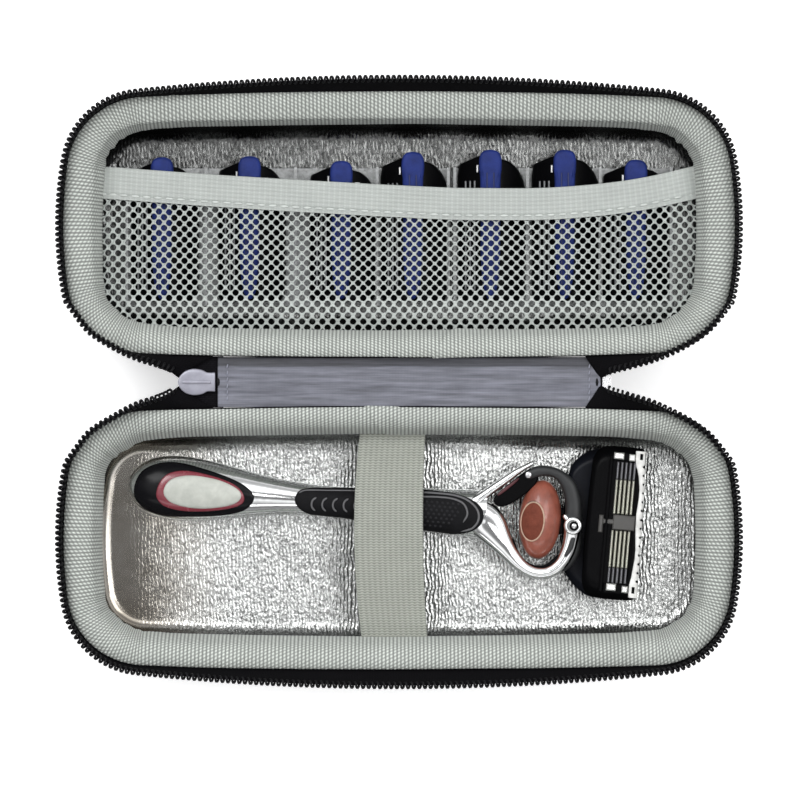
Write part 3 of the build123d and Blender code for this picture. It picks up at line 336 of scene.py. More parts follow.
# ---- finishes ----
def node(tree, kind, inputs=None, **settings):
    """Adds a shader node with its settings. An input is a value or another node's output."""
    made = tree.nodes.new("ShaderNode" + kind)
    for key, value in settings.items():
        setattr(made, key, value)
    for socket, value in (inputs or {}).items():
        if isinstance(value, bpy.types.NodeSocket):
            tree.links.new(value, made.inputs[socket])
        else:
            made.inputs[socket].default_value = value
    return made


def rgba(value):
    """A colour with full alpha."""
    return (*value[:3], 1.0)


def shade(value, factor):
    """A colour made lighter or darker."""
    return rgba([min(1.0, part * factor) for part in value[:3]])


def colour_ramp(tree, source, stops):
    """Colours or greys along a value, as (place, colour or grey)."""
    made = node(tree, "ValToRGB", {"Fac": source})
    ends = made.color_ramp.elements
    while len(ends) < len(stops):
        ends.new(0.5)
    for element, (place, value) in zip(ends, stops):
        element.position = place
        element.color = rgba(value) if hasattr(value, "__len__") else (value,) * 3 + (1,)
    return made.outputs["Color"]


class Finish:
    """One procedural material, built up from its shader."""

    def __init__(self, name, **sockets):
        self.material = bpy.data.materials.new(name)
        self.material.use_nodes = True
        self.tree = self.material.node_tree
        self.shader = self.tree.nodes["Principled BSDF"]
        for socket, value in sockets.items():
            self.shader.inputs[socket.replace("_", " ").title().replace("Ior", "IOR")] \
                .default_value = value

    def place(self, scale=(1, 1, 1), woven=False):
        """Coordinates in millimetres: the weave's own, or the piece's."""
        if woven:
            source = node(self.tree, "UVMap", uv_map="weave").outputs["UV"]
            size = scale
        else:
            source = node(self.tree, "TexCoord").outputs["Object"]
            size = [part / MM for part in scale]
        return node(self.tree, "Mapping", {"Scale": size, "Vector": source}).outputs["Vector"]

    def noise(self, vector, scale, detail=3.0, roughness=0.6):
        """Noise from 0 to 1."""
        return node(self.tree, "TexNoise", {"Vector": vector, "Scale": scale, "Detail": detail,
                                            "Roughness": roughness}).outputs["Fac"]

    def ramp(self, source, stops):
        """Colours or greys along a value."""
        return colour_ramp(self.tree, source, stops)

    def spread(self, source, low, high, start=0.0, end=1.0):
        """A value spread from its own range over another."""
        return node(self.tree, "MapRange", {"Value": source, "From Min": start, "From Max": end,
                                            "To Min": low, "To Max": high}).outputs["Result"]

    def patches(self, tone, source, factor, dark):
        """A colour made darker where a value is low."""
        return self.mix(factor, tone, self.ramp(source, ((0.3, dark), (0.7, 1.0))), "MULTIPLY")

    def mix(self, factor, first, second, blend="MIX"):
        """Mixes two colours."""
        return node(self.tree, "Mix", {0: factor, 6: first, 7: second}, data_type="RGBA",
                    blend_type=blend).outputs[2]

    def math(self, kind, first, second=0.0, third=0.0):
        """A sum, product or other operation on values."""
        return node(self.tree, "Math", {0: first, 1: second, 2: third},
                    operation=kind).outputs[0]

    def wave(self, *terms):
        """Cosine wave from 0 to 1 of a sum of values, each divided by its pitch."""
        total = 0.0
        for value, pitch in terms:
            total = self.math("ADD", self.math("MULTIPLY", value, 2 * pi / pitch), total)
        return self.math("MULTIPLY_ADD", self.math("COSINE", total), 0.5, 0.5)

    def parts(self, vector):
        """The three values of a vector."""
        return node(self.tree, "SeparateXYZ", {"Vector": vector}).outputs

    def colour(self, source):
        """Feeds the base colour."""
        self.tree.links.new(source, self.shader.inputs["Base Color"])

    def rough(self, source, low, high):
        """Roughness that varies with a value."""
        self.tree.links.new(self.spread(source, low, high), self.shader.inputs["Roughness"])

    def bump(self, *layers):
        """Bumps of given height in millimetres, one on another."""
        last = None
        for height, depth in layers:
            inputs = {"Height": height, "Strength": 1.0, "Distance": depth * MM}
            if last is not None:
                inputs["Normal"] = last
            last = node(self.tree, "Bump", inputs).outputs["Normal"]
        self.tree.links.new(last, self.shader.inputs["Normal"])


def wear(finish, source, base, spread):
    """Base colour with slight uneven patches."""
    patch = finish.noise(source, 0.35)
    finish.colour(finish.ramp(patch, ((0.3, shade(base, 1 - spread)),
                                      (0.7, shade(base, 1 + spread)))))
    return patch


def woven_finish(name, base, thread, row, dark=0.32, mortar=0.10, height=0.12, sheen=0.0,
                 roughness=0.82):
    """Yarns that pass over and under each other, with dark gaps."""
    finish = Finish(name, roughness=roughness, sheen_weight=sheen, sheen_roughness=0.5,
                    specular_ior_level=0.08)
    place = finish.place(woven=True)
    brick = node(finish.tree, "TexBrick",
                 {"Color1": shade(base, 1.12), "Color2": shade(base, 0.86),
                  "Mortar": shade(base, dark), "Scale": 1.0, "Mortar Size": mortar,
                  "Mortar Smooth": 0.75, "Brick Width": thread, "Row Height": row,
                  "Vector": place}, offset=0.5)
    fuzz = finish.noise(place, 2.6, 4.0)
    patch = finish.noise(place, 0.09, 2.0)
    tone = finish.patches(brick.outputs["Color"], fuzz, 0.35, 0.35)
    finish.colour(finish.patches(tone, patch, 0.3, 0.6))
    over = finish.math("SUBTRACT", 1.0, brick.outputs["Fac"])
    finish.bump((over, height), (fuzz, height * 0.4))
    return finish.material


def nylon_finish(name, base):
    """Shiny woven nylon with lengthwise streaks, and painted shade that darkens it along its
    folded edge under the binding.
    """
    finish = Finish(name, roughness=0.45, sheen_weight=0.08, specular_ior_level=0.35)
    woven = finish.place(woven=True)
    along, across, _ = finish.parts(woven)
    weave = finish.math("MULTIPLY", finish.wave((across, 0.5)), finish.wave((along, 0.42)))
    streaks = finish.place((0.05, 0.9, 1.0), woven=True)
    streak = finish.noise(streaks, 1.0, 4.0)
    patch = finish.noise(woven, 0.14, 3.0)
    edge = finish.math("ADD", across, finish.math("MULTIPLY", finish.noise(woven, 0.07), 1.4))
    tone = finish.ramp(streak, ((0.32, shade(base, 0.58)), (0.66, shade(base, 1.28))))
    tone = finish.mix(0.25, tone, finish.ramp(weave, ((0.0, 0.6), (0.7, 1.0))), "MULTIPLY")
    tone = finish.patches(tone, patch, 0.45, 0.62)
    # Painted shade: beyond about 5 mm across, the panel is darkened where it lies in the binding's
    # shadow.
    band = finish.spread(edge, 1.0, 0.34, 4.7, 5.3)
    finish.colour(finish.mix(1.0, tone, band, "MULTIPLY"))
    finish.rough(streak, 0.38, 0.56)
    finish.bump((weave, 0.03), (streak, 0.12))
    return finish.material


FINISHES = {}


def dress(piece, finish):
    """Gives a piece its finish."""
    piece.data.materials.clear()
    piece.data.materials.append(FINISHES[finish])
    return piece


# ---- shared builders ----
def solidify(piece, thickness):
    """Gives a surface its thickness in millimetres, away from its face."""
    layer = piece.modifiers.new("Thickness", "SOLIDIFY")
    layer.thickness = thickness * MM
    layer.offset = -1.0
    layer.use_even_offset = True


def tube_piece(name, centre, first, second, sides=6):
    """A closed tube round a path, from the path and two radius vectors at each point."""
    turn = np.arange(sides) * 2 * pi / sides
    rings = (centre[:, None] + first[:, None] * np.cos(turn)[None, :, None]
             + second[:, None] * np.sin(turn)[None, :, None])
    return make_piece(name, rings, ring_faces(len(centre), sides, 1, -1))


def path_frames(points):
    """Tangent, level sideways vector and up vector along a path."""
    tangent = unit(np.gradient(points, axis=0))
    aside = unit(np.cross(tangent, (0, 0, 1.0)))
    return tangent, aside, np.cross(aside, tangent)


def beads(name, centres, sizes, along=(1, 0, 0), aside=(0, 1, 0), up=(0, 0, 1)):
    """Small ellipsoids with these half sizes along three directions, shared or one for each."""
    rings, sides = 5, 8
    frames = [np.broadcast_to(way, (len(centres), 3)) for way in (along, aside, up)]
    tall = np.linspace(0, pi, rings + 2)[1:-1]
    turn = np.arange(sides) * 2 * pi / sides
    ball = np.array([(cos(a), sin(a) * cos(b), sin(a) * sin(b)) for a in tall for b in turn]
                    + [(1, 0, 0), (-1, 0, 0)])
    shape_faces = [[r * sides + k, r * sides + (k + 1) % sides, (r + 1) * sides + (k + 1) % sides,
                    (r + 1) * sides + k] for r in range(rings - 1) for k in range(sides)]
    head, tail, last = rings * sides, rings * sides + 1, (rings - 1) * sides
    shape_faces += [[head, (k + 1) % sides, k] for k in range(sides)]
    shape_faces += [[tail, last + k, last + (k + 1) % sides] for k in range(sides)]
    points, faces = [], []
    for number, place in enumerate(centres):
        axes = np.stack([way[number] * size for way, size in zip(frames, sizes)])
        points.append(ball @ axes + place)
        faces += [[corner + number * len(ball) for corner in face] for face in shape_faces]
    return make_piece(name, np.vstack(points), faces)


def depth_inside(points, polygon):
    """How deep each point lies inside a convex polygon that runs anticlockwise."""
    ahead = np.roll(polygon, -1, 0) - polygon
    inward = unit(np.stack([-ahead[:, 1], ahead[:, 0]], -1))
    return ((points[:, None] - polygon[None]) * inward[None]).sum(-1).min(1)


def slab(name, plan, foot, head, edge=0.4, crown=0.0):
    """A solid with this convex plan, rounded edges and a crowned top."""
    plan = np.asarray(plan, float)
    ahead = np.roll(plan, -1, 0) - np.roll(plan, 1, 0)
    outward = unit(np.stack([ahead[:, 1], -ahead[:, 0]], -1))
    middle = plan.mean(0)
    turns = np.linspace(0, pi / 2, 4)
    rings = [(edge * (1 - sin(turn)), foot + edge * (1 - cos(turn)), 1.0) for turn in turns]
    rings += [(edge * (1 - cos(turn)), head - edge * (1 - sin(turn)), 1.0) for turn in turns]
    rings += [(edge, head + crown * (1 - share**2), share) for share in (0.8, 0.55, 0.3, 0.1)]
    stack = [np.column_stack([(plan - outward * inset - middle) * share + middle,
                              np.full(len(plan), height)]) for inset, height, share in rings]
    return make_piece(name, np.concatenate(stack), ring_faces(len(stack), len(plan), -1, 1))


def rounded_plan(points, count, cuts):
    """A closed plan whose corners are cut off so many times, in even steps."""
    points = np.asarray(points, float)
    for _ in range(cuts):
        ahead = np.roll(points, -1, 0)
        points = np.stack([0.75 * points + 0.25 * ahead, 0.25 * points + 0.75 * ahead],
                          1).reshape(-1, 2)
    closed = np.vstack([points, points[:1]])
    run = path_run(closed)
    at = np.linspace(0, run[-1], count, endpoint=False)
    return np.stack([np.interp(at, run, closed[:, k]) for k in range(2)], -1)


def stand_for(piece, nodes, finish, body=None):
    """Finish, body and the CAD nodes that a piece stands for."""
    dress(piece, finish)
    if nodes:
        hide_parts(*nodes)
    if body:
        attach(piece, body)
    return piece


def sizes_mm(*names):
    """Sizes that the user may change, in millimetres."""
    return [getattr(bpy.context.scene.case_sizes, name) / MM for name in names]


# ---- case: covers, foam and liners ----
def tub_piece(side, name, step, profile, tile, moved, upward):
    """Walls of a half from a profile, and its floor in even tiles, moved by a function."""
    places, lengths, total = rim_stations(step)
    foot = profile[-1]
    profile = np.vstack([profile, *(foot + (0.6 * k, 0) for k in range(1, 7)),
                         foot + (4.2, -0.3 * upward)])
    wall = outline_rings(places, profile)
    run = path_run(wall[:, 0])
    wall = moved(wall, surface_normals(wall, wrap=True))
    grid_x, grid_y = np.meshgrid(*(np.arange(-reach, reach + 0.1, tile) for reach in FLOOR))
    floor = np.stack([grid_x, grid_y, np.full(grid_x.shape, foot[1])], -1).reshape(-1, 3)
    deep = depth_inside(floor[:, :2], outline_at(RIM, rim_stations(3.0)[0], foot[0] + 0.1))
    floor[:, 2] += upward * (0.012 - 0.3 * np.clip(1 - deep / 3.2, 0, 1) ** 2)
    floor = moved(floor, np.array((0, 0, 1.0)))
    flip = (side < 0) == (upward > 0)
    corners = grid_corners(*wall.shape[:2], wrap=True, flip=flip)
    faces = corners[..., 0] * wall.shape[1] + corners[..., 1] % wall.shape[1]
    weave = np.stack([np.append(lengths, total)[corners[..., 1]], run[corners[..., 0]]], -1)
    corners = grid_corners(*grid_x.shape, flip=flip)
    tiles = corners[..., 0] * grid_x.shape[1] + corners[..., 1]
    tiles = tiles[(deep > 0)[tiles].all(1)]
    weave = np.vstack([weave.reshape(-1, 2), floor[tiles.ravel(), :2]])
    used, tiles = np.unique(tiles, return_inverse=True)
    faces = np.vstack([faces, tiles.reshape(-1, 4) + wall.shape[0] * wall.shape[1]])
    return make_piece(name, to_half(side, np.vstack([wall.reshape(-1, 3), floor[used]])), faces,
                      weave)


def make_cover(side):
    """Woven outer fabric over the moulded shell, and the foam behind it."""
    half = HALF[side]

    def fabric(points, normal):
        ripple = 0.10 * grain(points, (16, 16, 9), 3) + 0.04 * grain(points, (3.2, 3.2, 3.2), 4)
        moved = points + normal * (0.14 + ripple)[..., None]
        moved[..., 2] = np.maximum(moved[..., 2], 0.0)
        return moved

    cover = tub_piece(side, f"{half}_cover_fabric", 1.2, wall_profile(0.0, 16, RIM_Z - 0.2), 1.6,
                      fabric, -1.0)
    solidify(cover, 0.7)
    stand_for(cover, [f"{half}_cover"], "shell", BODY[side])
    places, _, _ = rim_stations(2.4)
    foam_points = tub_points(places, wall_profile(1.0, 12, RIM_Z - 0.2), 14, 1.0)
    foam_points += 0.03 * grain(foam_points, (1.3, 1.3, 1.3), 5)[..., None]
    foam = grid_piece(f"{half}_moulded_foam", to_half(side, foam_points), True, side > 0)
    solidify(foam, 3.6)
    stand_for(foam, [f"{half}_core"], "foam", BODY[side])


def make_liner(side):
    """Crumpled metallic liner inside a half: sharp creases, fine ones, and a slow swell."""
    size, depth = sizes_mm("foil_grain", "foil_depth")
    tall = 1.5 if side > 0 else 1.0

    def crumpled(points, normal):
        crease = 1 - 2 * np.abs(grain(points, (size * 0.8, size * tall, size), 11 + side))
        fine = grain(points, (size * 0.42, size * 0.42 * tall, size * 0.5), 21 + side)
        swell = grain(points, (26, 14, 12), 31 + side)
        calm = np.clip((points[..., 0] + 80) / 28, 0, 1) ** 2 if side < 0 else 1.0
        return points + normal * ((depth * 0.5 * crease + depth * 0.32 * fine) * calm
                                  + 0.12 * swell - 0.05)[..., None]

    profile, _ = even_path(wall_profile(5.2, 14, 19.0), 0.55)
    liner = tub_piece(side, f"{HALF[side]}_foil_liner", 0.5, profile, 0.45, crumpled, 1.0)
    solidify(liner, 0.25)
    stand_for(liner, [f"{HALF[side]}_liner"], f"{HALF[side]}_foil", BODY[side])


# ---- case: bindings ----
# Section of a binding, from its outer foot over the rim to its inner foot: inset and height.
BINDING_KEYS = ((1.1, 22.5), (0.75, 23.3), (0.9, 24.25), (2.6, 24.85), (4.8, 24.75), (6.8, 23.7),
                (8.6, 21.4), (9.8, 18.6), (10.4, 15.9), (10.2, 14.1), (9.0, 13.1), (7.8, 13.6))
BINDING_SHARES = (0.80, 0.98, 1.10, 1.04, 0.94, 1.04, 1.10, 0.98, 0.80)    # for each arc
BINDING_SEAMS = {1: 12.9, -1: -5.9}
# How far the outer foot stands out at each arc, for each side.
BINDING_SPREAD = {1: (0.2, 0.2, 0.5, 0.7, 1.3, 0.7, 0.5, 0.2, 0.2),
                  -1: (0.2, 0.2, 0.5, 0.2, 0.2, 0.2, 0.5, 0.2, 0.2)}
BINDING_CORNERS = (1, 3, 5, 7)


def binding_width(places):
    """How wide the binding is at each place, as a share of its full width."""
    width = np.array([BINDING_SHARES[int(arc)] for arc in places[:, 0]])
    return smooth_round(width, max(3, len(width) // 28))


def make_binding(side):
    """Padded roll of ribbed tape over the rim, gathered at the corners, with its end seam."""
    pitch, height = sizes_mm("rib_pitch", "rib_height")
    places, lengths, total = rim_stations(pitch / 4)
    ribs = round(total / pitch)
    place = lengths / total * ribs
    width = binding_width(places)
    profile = smooth_path(BINDING_KEYS, 32)
    middle = len(profile) // 2
    spread = smooth_round(np.array(BINDING_SPREAD[side])[places[:, 0].astype(int)], 80)
    points = outline_rings(places, [
        (inset * width - spread * (1 if row > middle else np.clip((z - 23.5) / 0.8, 0, 1)), z)
        for row, (inset, z) in enumerate(profile)])
    run = path_run(points[:, 0])
    normal = surface_normals(points, wrap=True)
    corner = smooth_round(np.isin(places[:, 0], BINDING_CORNERS).astype(float), 60)
    inner = np.clip((np.arange(len(profile)) - 8) / 9, 0, 1)[:, None]
    flow = np.stack(np.broadcast_arrays(lengths[None], run[:, None]), -1)
    pleats = grain(flow, (2.3, 11.0), 41 + side) * 0.42 + grain(flow, (5.5, 16.0), 43 + side) * 0.5
    swell = grain(flow, (24.0, 9.0), 45 + side) * 0.16
    rib = np.abs(np.cos(pi * place))[None] * height
    shift = rib + swell + pleats * corner[None] * inner * 0.8
    seam = (BINDING_SEAMS[side] % total)
    past = (flow[..., 0] - seam - 0.45 * (flow[..., 1] - run[middle])) % total
    shift = shift + 0.42 * np.exp(-past / 6.5) * (past < 60)
    shift[-5:] *= 0.3
    points += normal * (shift - 0.1)[..., None]
    along = np.append(place, ribs) * pitch
    binding = grid_piece(f"{HALF[side]}_binding_roll", to_half(side, points), True, side < 0,
                         run, along)
    stand_for(binding, [f"{HALF[side]}_binding"], "binding", BODY[side])


# ---- case: zip ----
# Where each side's coil runs from the rim to the apex, right (1) and left (-1), from the
# spine's middle.
ZIP_ENDS = {1: ((92.8, 21.5), (87.0, 15.3), (81.5, 11.2), (75.5, 8.0), (70.3, 5.7), (64.5, 3.9),
                (59.0, 2.2), (56.6, 0.9)),
            -1: ((92.8, 22.3), (87.3, 15.1), (83.75, 12.2), (79.5, 9.7), (76.0, 7.7), (72.5, 6.1),
                 (69.0, 5.0), (65.5, 3.7), (63.4, 2.5), (61.9, 1.5))}


def zip_paths(step):
    """The coil's path and the tape's sewn edge, in a half's own frame, apex to apex."""
    places, _, _ = rim_stations(step)
    coil = outline_at(COIL, places, 1.35)
    rim = outline_at(RIM, places, 0.3)
    standing = np.nonzero(coil[:, 1] > -21.4)[0]
    ends = {}
    for way, first in ((1, standing[0]), (-1, standing[-1])):
        start = (abs(coil[first, 0]), coil[first, 1] + CENTRE_Y)
        gap, _ = even_path(smooth_path([start, *ZIP_ENDS[way][1:]], 160), step)
        seam = rim[first::-1] if way > 0 else rim[first:]
        seam, _ = even_path(seam[np.abs(seam[:, 0]) >= 51.5], 0.5)
        at = np.linspace(0, len(seam) - 1, len(gap))
        seam = np.stack([np.interp(at, np.arange(len(seam)), seam[:, k]) for k in (0, 1)], -1)
        turned = np.clip((7.2 - gap[:, 1]) / 6.4, 0, 1)
        lying = np.clip((gap[:, 0] - gap[-1, 0]) / 6.0, 0, 1) ** 0.6
        height = RIM_Z - 0.8 + (COIL_Z - RIM_Z + 0.8) * np.sqrt(1 - turned**2) * lying
        ends[way] = (np.column_stack([way * gap[:, 0], gap[:, 1] - CENTRE_Y, height])[1:],
                     np.column_stack([seam, np.full(len(seam), RIM_Z - 0.4)])[1:])
    coil = np.column_stack([coil, np.full(len(coil), COIL_Z)])[standing]
    rim = np.column_stack([rim, np.full(len(rim), RIM_Z - 0.3)])[standing]
    path = np.vstack([ends[1][0][::-1], coil, ends[-1][0]])
    edge = np.vstack([ends[1][1][::-1], rim, ends[-1][1]])
    return path, edge


def zip_blend(piece):
    """Bakes the piece's transform into its mesh."""
    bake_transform(piece)


def make_zip_side(side):
    """Tape and coil of one half, down to where both sides meet."""
    half = HALF[side]
    pitch, wire = sizes_mm("tooth_pitch", "wire_radius")
    path, edge = zip_paths(0.8)
    share = np.linspace(0, 1, 9)[:, None, None]
    points = edge * (1 - share) + path * share
    points[..., 2] -= 0.5 * np.clip((-60.5 - points[..., 0]) / 2, 0, 1) * (points[..., 0] > -64)
    bulge = np.sin(share[..., 0] * pi) * (0.35 + 0.12 * grain(path, (9, 9, 9), 51 + side))[None]
    points += surface_normals(points) * bulge[..., None] * 0.6
    tape = grid_piece(f"{half}_zip_tape_cloth", to_half(side, points), False, side < 0,
                      path_run(points[:, 0]), path_run(edge))
    solidify(tape, 0.5)
    stand_for(tape, [f"{half}_zip_tape"], "tape")
    zip_blend(tape)
    if side > 0:
        tucked = np.clip((80 - np.abs(path[:, 0])) / 5, 0, 1) * (path[:, 1] < -28)
        path = path + unit(edge - path) * tucked[:, None] * 0.9
    keep = (path[:, 1] > -36) | (path[:, 0] < -62.8) | (path[:, 0] > 58.2)
    path, at = even_path(path[keep], pitch / 10)
    _, aside, up = path_frames(path)
    turn = 2 * pi * at / pitch
    swing = np.tanh(2.2 * np.cos(turn)) / tanh(2.2)
    outward = aside * swing[:, None] + up * np.sin(turn)[:, None] * 0.8
    coil_path = path + outward * 0.74
    outward = unit(outward)
    first = np.cross(unit(np.gradient(coil_path, axis=0)), outward)
    mirror = np.array((1, side, 1))
    coil = tube_piece(f"{half}_zip_coil_wire", to_half(side, coil_path), first * wire * mirror,
                      outward * wire * mirror)
    stand_for(coil, [f"{half}_zip_coil"], "coil")
    zip_blend(coil)


def make_zip_middle():
    """Where both sides run together under the slider and the spine panel."""
    for end, name, outward in ((0, "left", -1), (1, "right", 1)):
        wide = np.linspace(PANEL[end] - outward * 1.5, APEX[end] + outward * 0.8, 24)
        tall = np.linspace(-7.2, 7.2, 24)
        grid_x, grid_y = np.meshgrid(wide, tall)
        lift = SPINE_Z - 0.35 + 0.12 * np.exp(-(grid_y / 1.2) ** 2)
        points = np.stack([grid_x, grid_y, lift], -1)
        points[..., 2] += 0.06 * grain(points[..., :2], (2.5, 2.5), 61 + end)
        cloth = grid_piece(f"{name}_gusset_cloth", points, False, outward < 0, tall, wide)
        solidify(cloth, 0.5)
        stand_for(cloth, [f"{name}_gusset"], "cover", "spine")
    pitch, = sizes_mm("tooth_pitch")
    centres = []
    for near, far in zip(PANEL, APEX):
        count = max(2, int(abs(far - near) / pitch))
        centres += [(x, 0.0, SPINE_Z) for x in np.linspace(near, far, count)]
    chain = beads("zip_chain_teeth", centres, (0.62, 1.5, 0.7))
    stand_for(chain, ["zip_chain_ends"], "coil", "spine")


# ---- case: spine panel ----
def make_spine():
    """Nylon panel inside the spine, with end stitches, and the fabric behind it."""
    wide, tall = np.arange(PANEL[0], PANEL[1] + 0.1, 0.45), np.linspace(-7.0, 7.0, 40)
    grid_x, grid_y = np.meshgrid(wide, tall)
    flat = np.stack([grid_x, grid_y], -1)
    lift = 22.5 + 0.26 * grain(flat, (34, 3.4), 71) + 0.12 * grain(flat, (9, 2.0), 72)
    step = 4.3 + 0.35 * np.sin(grid_x / 23.0)
    lift -= 0.5 / (1 + np.exp(-(grid_y - step) / 0.12))
    crease = -3.0 - 0.028 * (grid_x - PANEL[0])
    lift -= 0.42 * np.exp(-((grid_y - crease) / 0.28) ** 2) * np.clip((-18 - grid_x) / 12, 0, 1)
    crease = -3.4 + 0.02 * (PANEL[1] - grid_x)
    lift -= 0.30 * np.exp(-((grid_y - crease) / 0.30) ** 2) * np.clip((grid_x - 18) / 14, 0, 1)
    curl = np.minimum(grid_x - PANEL[0], PANEL[1] - grid_x)
    lift += 0.35 * np.exp(-curl / 0.8)
    bow = 0.9 * (1 - (grid_y / 7) ** 2)
    points = np.stack([grid_x + bow * np.clip((grid_x - 50) / 5, 0, 1), grid_y, lift], -1)
    panel = grid_piece("hinge_panel_nylon", points, False, False, tall, wide)
    solidify(panel, 0.25)
    stand_for(panel, ["hinge_panel"], "nylon", "spine")
    centres = [(x, y, 22.72) for x in (PANEL[0] + 2.6, PANEL[1] - 2.2)
               for y in (-4.6, -2.9, -1.2, 0.7, 2.6, 4.4)]
    stitches = beads("hinge_panel_stitches", centres, (0.62, 0.2, 0.2), (0.25, 1, 0),
                     (1, -0.25, 0))
    stand_for(stitches, [], "nylon_thread", "spine")
    wide, tall = np.linspace(-58.5, 58.0, 160), np.linspace(-6.8, 6.8, 20)
    grid_x, grid_y = np.meshgrid(wide, tall)
    lift = 21.2 - 0.25 * (1 - (grid_y / 6.8) ** 2)
    back = np.stack([grid_x, grid_y, lift], -1)
    back[..., 2] += 0.05 * grain(back[..., :2], (6, 3), 73)
    backing = grid_piece("hinge_backing_cloth", back, False, True, tall, wide)
    solidify(backing, 0.6)
    stand_for(backing, ["hinge_backing"], "cover", "spine")


# ---- case: strap ----
STRAP_X = -2.9
STRAP_WIDE = 19.4
STRAP_ENDS = (-72.4, -14.0)                  # under the outer and the inner binding


def strap_height(y):
    """Underside of the strap: a low bow over the razor."""
    return 18.35 - 2.9 * ((y + CENTRE_Y) / 27.9) ** 2


def make_strap():
    """Elastic strap in two pieces that meet over the razor, each held at its end."""
    reach = np.arange(0, STRAP_WIDE + 0.01, STRAP_WIDE / 62)
    for end, name in ((0, "outer"), (1, "inner")):
        tall = np.linspace(-CENTRE_Y, STRAP_ENDS[end], 118)
        grid_u, grid_y = np.meshgrid(reach, tall)
        place = (grid_y + CENTRE_Y) / 28
        grid_x = (STRAP_X - 0.32 * place + 1.3 * place**2
                  + (grid_u - STRAP_WIDE / 2) * (1 - 0.043 * place**2))
        weave = 0.10 * np.cos(grid_u * 2 * pi / 1.25) * np.cos(grid_y * 2 * pi / 0.98)
        edge = np.minimum(grid_u, STRAP_WIDE - grid_u)
        lift = strap_height(grid_y) + 1.1 + weave - 0.35 * np.exp(-edge / 0.35)
        points = np.stack([grid_x, grid_y, lift], -1)
        strap = grid_piece(f"elastic_strap_{name}", points, False, end == 0, tall, reach)
        solidify(strap, 0.9)
        stand_for(strap, ["elastic_strap"], "strap")
        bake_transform(strap)


# ---- case: mesh pocket ----
# Top edge of the hem, in the case's frame.
HEM_EDGE = ((-92, 61.6), (-84, 60.7), (-44.2, 57.8), (5.9, 55.0), (25, 54.5), (45.1, 54.8),
            (66.5, 57.1), (86.2, 61.6), (92, 63.2))
HEM_WIDE = 9.0
POCKET_SPLIT = 24.5                          # the strip by the fold ends here


def hem_top(x):
    """Top edge of the hem."""
    curve = smooth_path(HEM_EDGE, 200)
    return np.interp(x, curve[:, 0], curve[:, 1])


def pocket_border():
    """Edge of the pocket's mesh, sewn under the binding, in the case's frame."""
    places, _, _ = rim_stations(4.0)
    edge = outline_at(RIM, places, 9.6 * binding_width(places))
    edge[:, 1] += CENTRE_Y
    return edge


def pocket_height(points, border):
    """Height of the pocket's mesh: low at the border, and resting over the bars."""
    depth = np.clip(depth_inside(points, border) / 5.0, 0, 1)
    rise = depth * depth * (3 - 2 * depth)
    bars = np.min(np.abs(points[:, :1] - np.array(SPARE_X)[None]), 1)
    sag = 0.45 * np.clip((bars - 2.5) / 7.5, 0, 1) ** 1.5
    ripple = 0.10 * grain(points, (14, 11), 81)
    return 15.6 + 2.55 * rise - sag * rise + ripple


def make_mesh():
    """Net of yarn round open holes, in three pieces that share their edges."""
    pitch, row_pitch, hole = sizes_mm("hole_pitch", "row_pitch", "hole_radius")
    border = pocket_border()
    centres = []
    for number in range(44):
        y = 12.0 + number * row_pitch
        shift = pitch / 2 * (number % 2)
        centres += [(x * pitch + shift, y) for x in range(-34, 34)]
    centres = np.array(centres)
    centres[:, 1] -= 6.0 * (1 - np.clip(np.abs(centres[:, 0]) / 95, 0, 1) ** 2) * np.clip(
        (centres[:, 1] - 24) / 34, 0, 1)
    depth = depth_inside(centres, border)
    keep = (depth > -0.4) & (centres[:, 1] < hem_top(centres[:, 0]) - HEM_WIDE + 1.4)
    centres = centres[keep]
    low = (row_pitch**2 - pitch**2 / 4) / (2 * row_pitch)
    high = (row_pitch**2 + pitch**2 / 4) / (2 * row_pitch)
    hexagon = np.array([(pitch / 2, low), (0, high), (-pitch / 2, low), (-pitch / 2, -low),
                        (0, -high), (pitch / 2, -low)])
    rim = np.stack([(hexagon + np.roll(hexagon, 1, 0)) / 2, hexagon], 1).reshape(-1, 2)
    angle = np.arctan2(rim[:, 1], rim[:, 0])
    circle = np.stack([np.cos(angle), np.sin(angle)], -1)
    dimple = np.where(np.abs(rim[:, 1]) < 0.01, -0.30, -0.02)
    crest = circle * np.minimum(hole + 0.27, np.linalg.norm(rim, axis=1)[:, None] * 0.86)
    rings = [(circle * hole, -0.10), (circle * (hole + 0.10), 0.10), (crest, 0.16), (rim, dimple)]
    flat = np.concatenate([ring for ring, _ in rings])
    lift = np.concatenate([np.broadcast_to(height, (12,)) for _, height in rings])
    faces = [[r * 12 + k, (r + 1) * 12 + k, (r + 1) * 12 + (k + 1) % 12, r * 12 + (k + 1) % 12]
             for r in range(3) for k in range(12)]
    whole = {"fold_side": centres[:, 1] < POCKET_SPLIT}
    whole["left"] = ~whole["fold_side"] & (centres[:, 0] < 0)
    whole["right"] = ~whole["fold_side"] & ~whole["left"]
    pieces = []
    for name, chosen in whole.items():
        own = centres[chosen]
        points = (own[:, None] + flat[None]).reshape(-1, 2)
        heights = pocket_height(points, border) + np.tile(lift, len(own))
        solid = np.column_stack([points, heights])
        numbers = np.array(faces)[None] + np.arange(len(own))[:, None, None] * len(flat)
        keys = np.round(solid[:, :2] / 0.02).astype(np.int64)
        _, first, back = np.unique(keys, axis=0, return_index=True, return_inverse=True)
        back = back.ravel()
        piece = make_piece(f"mesh_pocket_{name}", solid[first], back[numbers.reshape(-1, 4)])
        piece.data.validate()
        solidify(piece, 0.28)
        stand_for(piece, ["mesh_pocket"], "mesh")
        pieces.append((name, piece, len(own) * pitch * row_pitch))
    return pieces


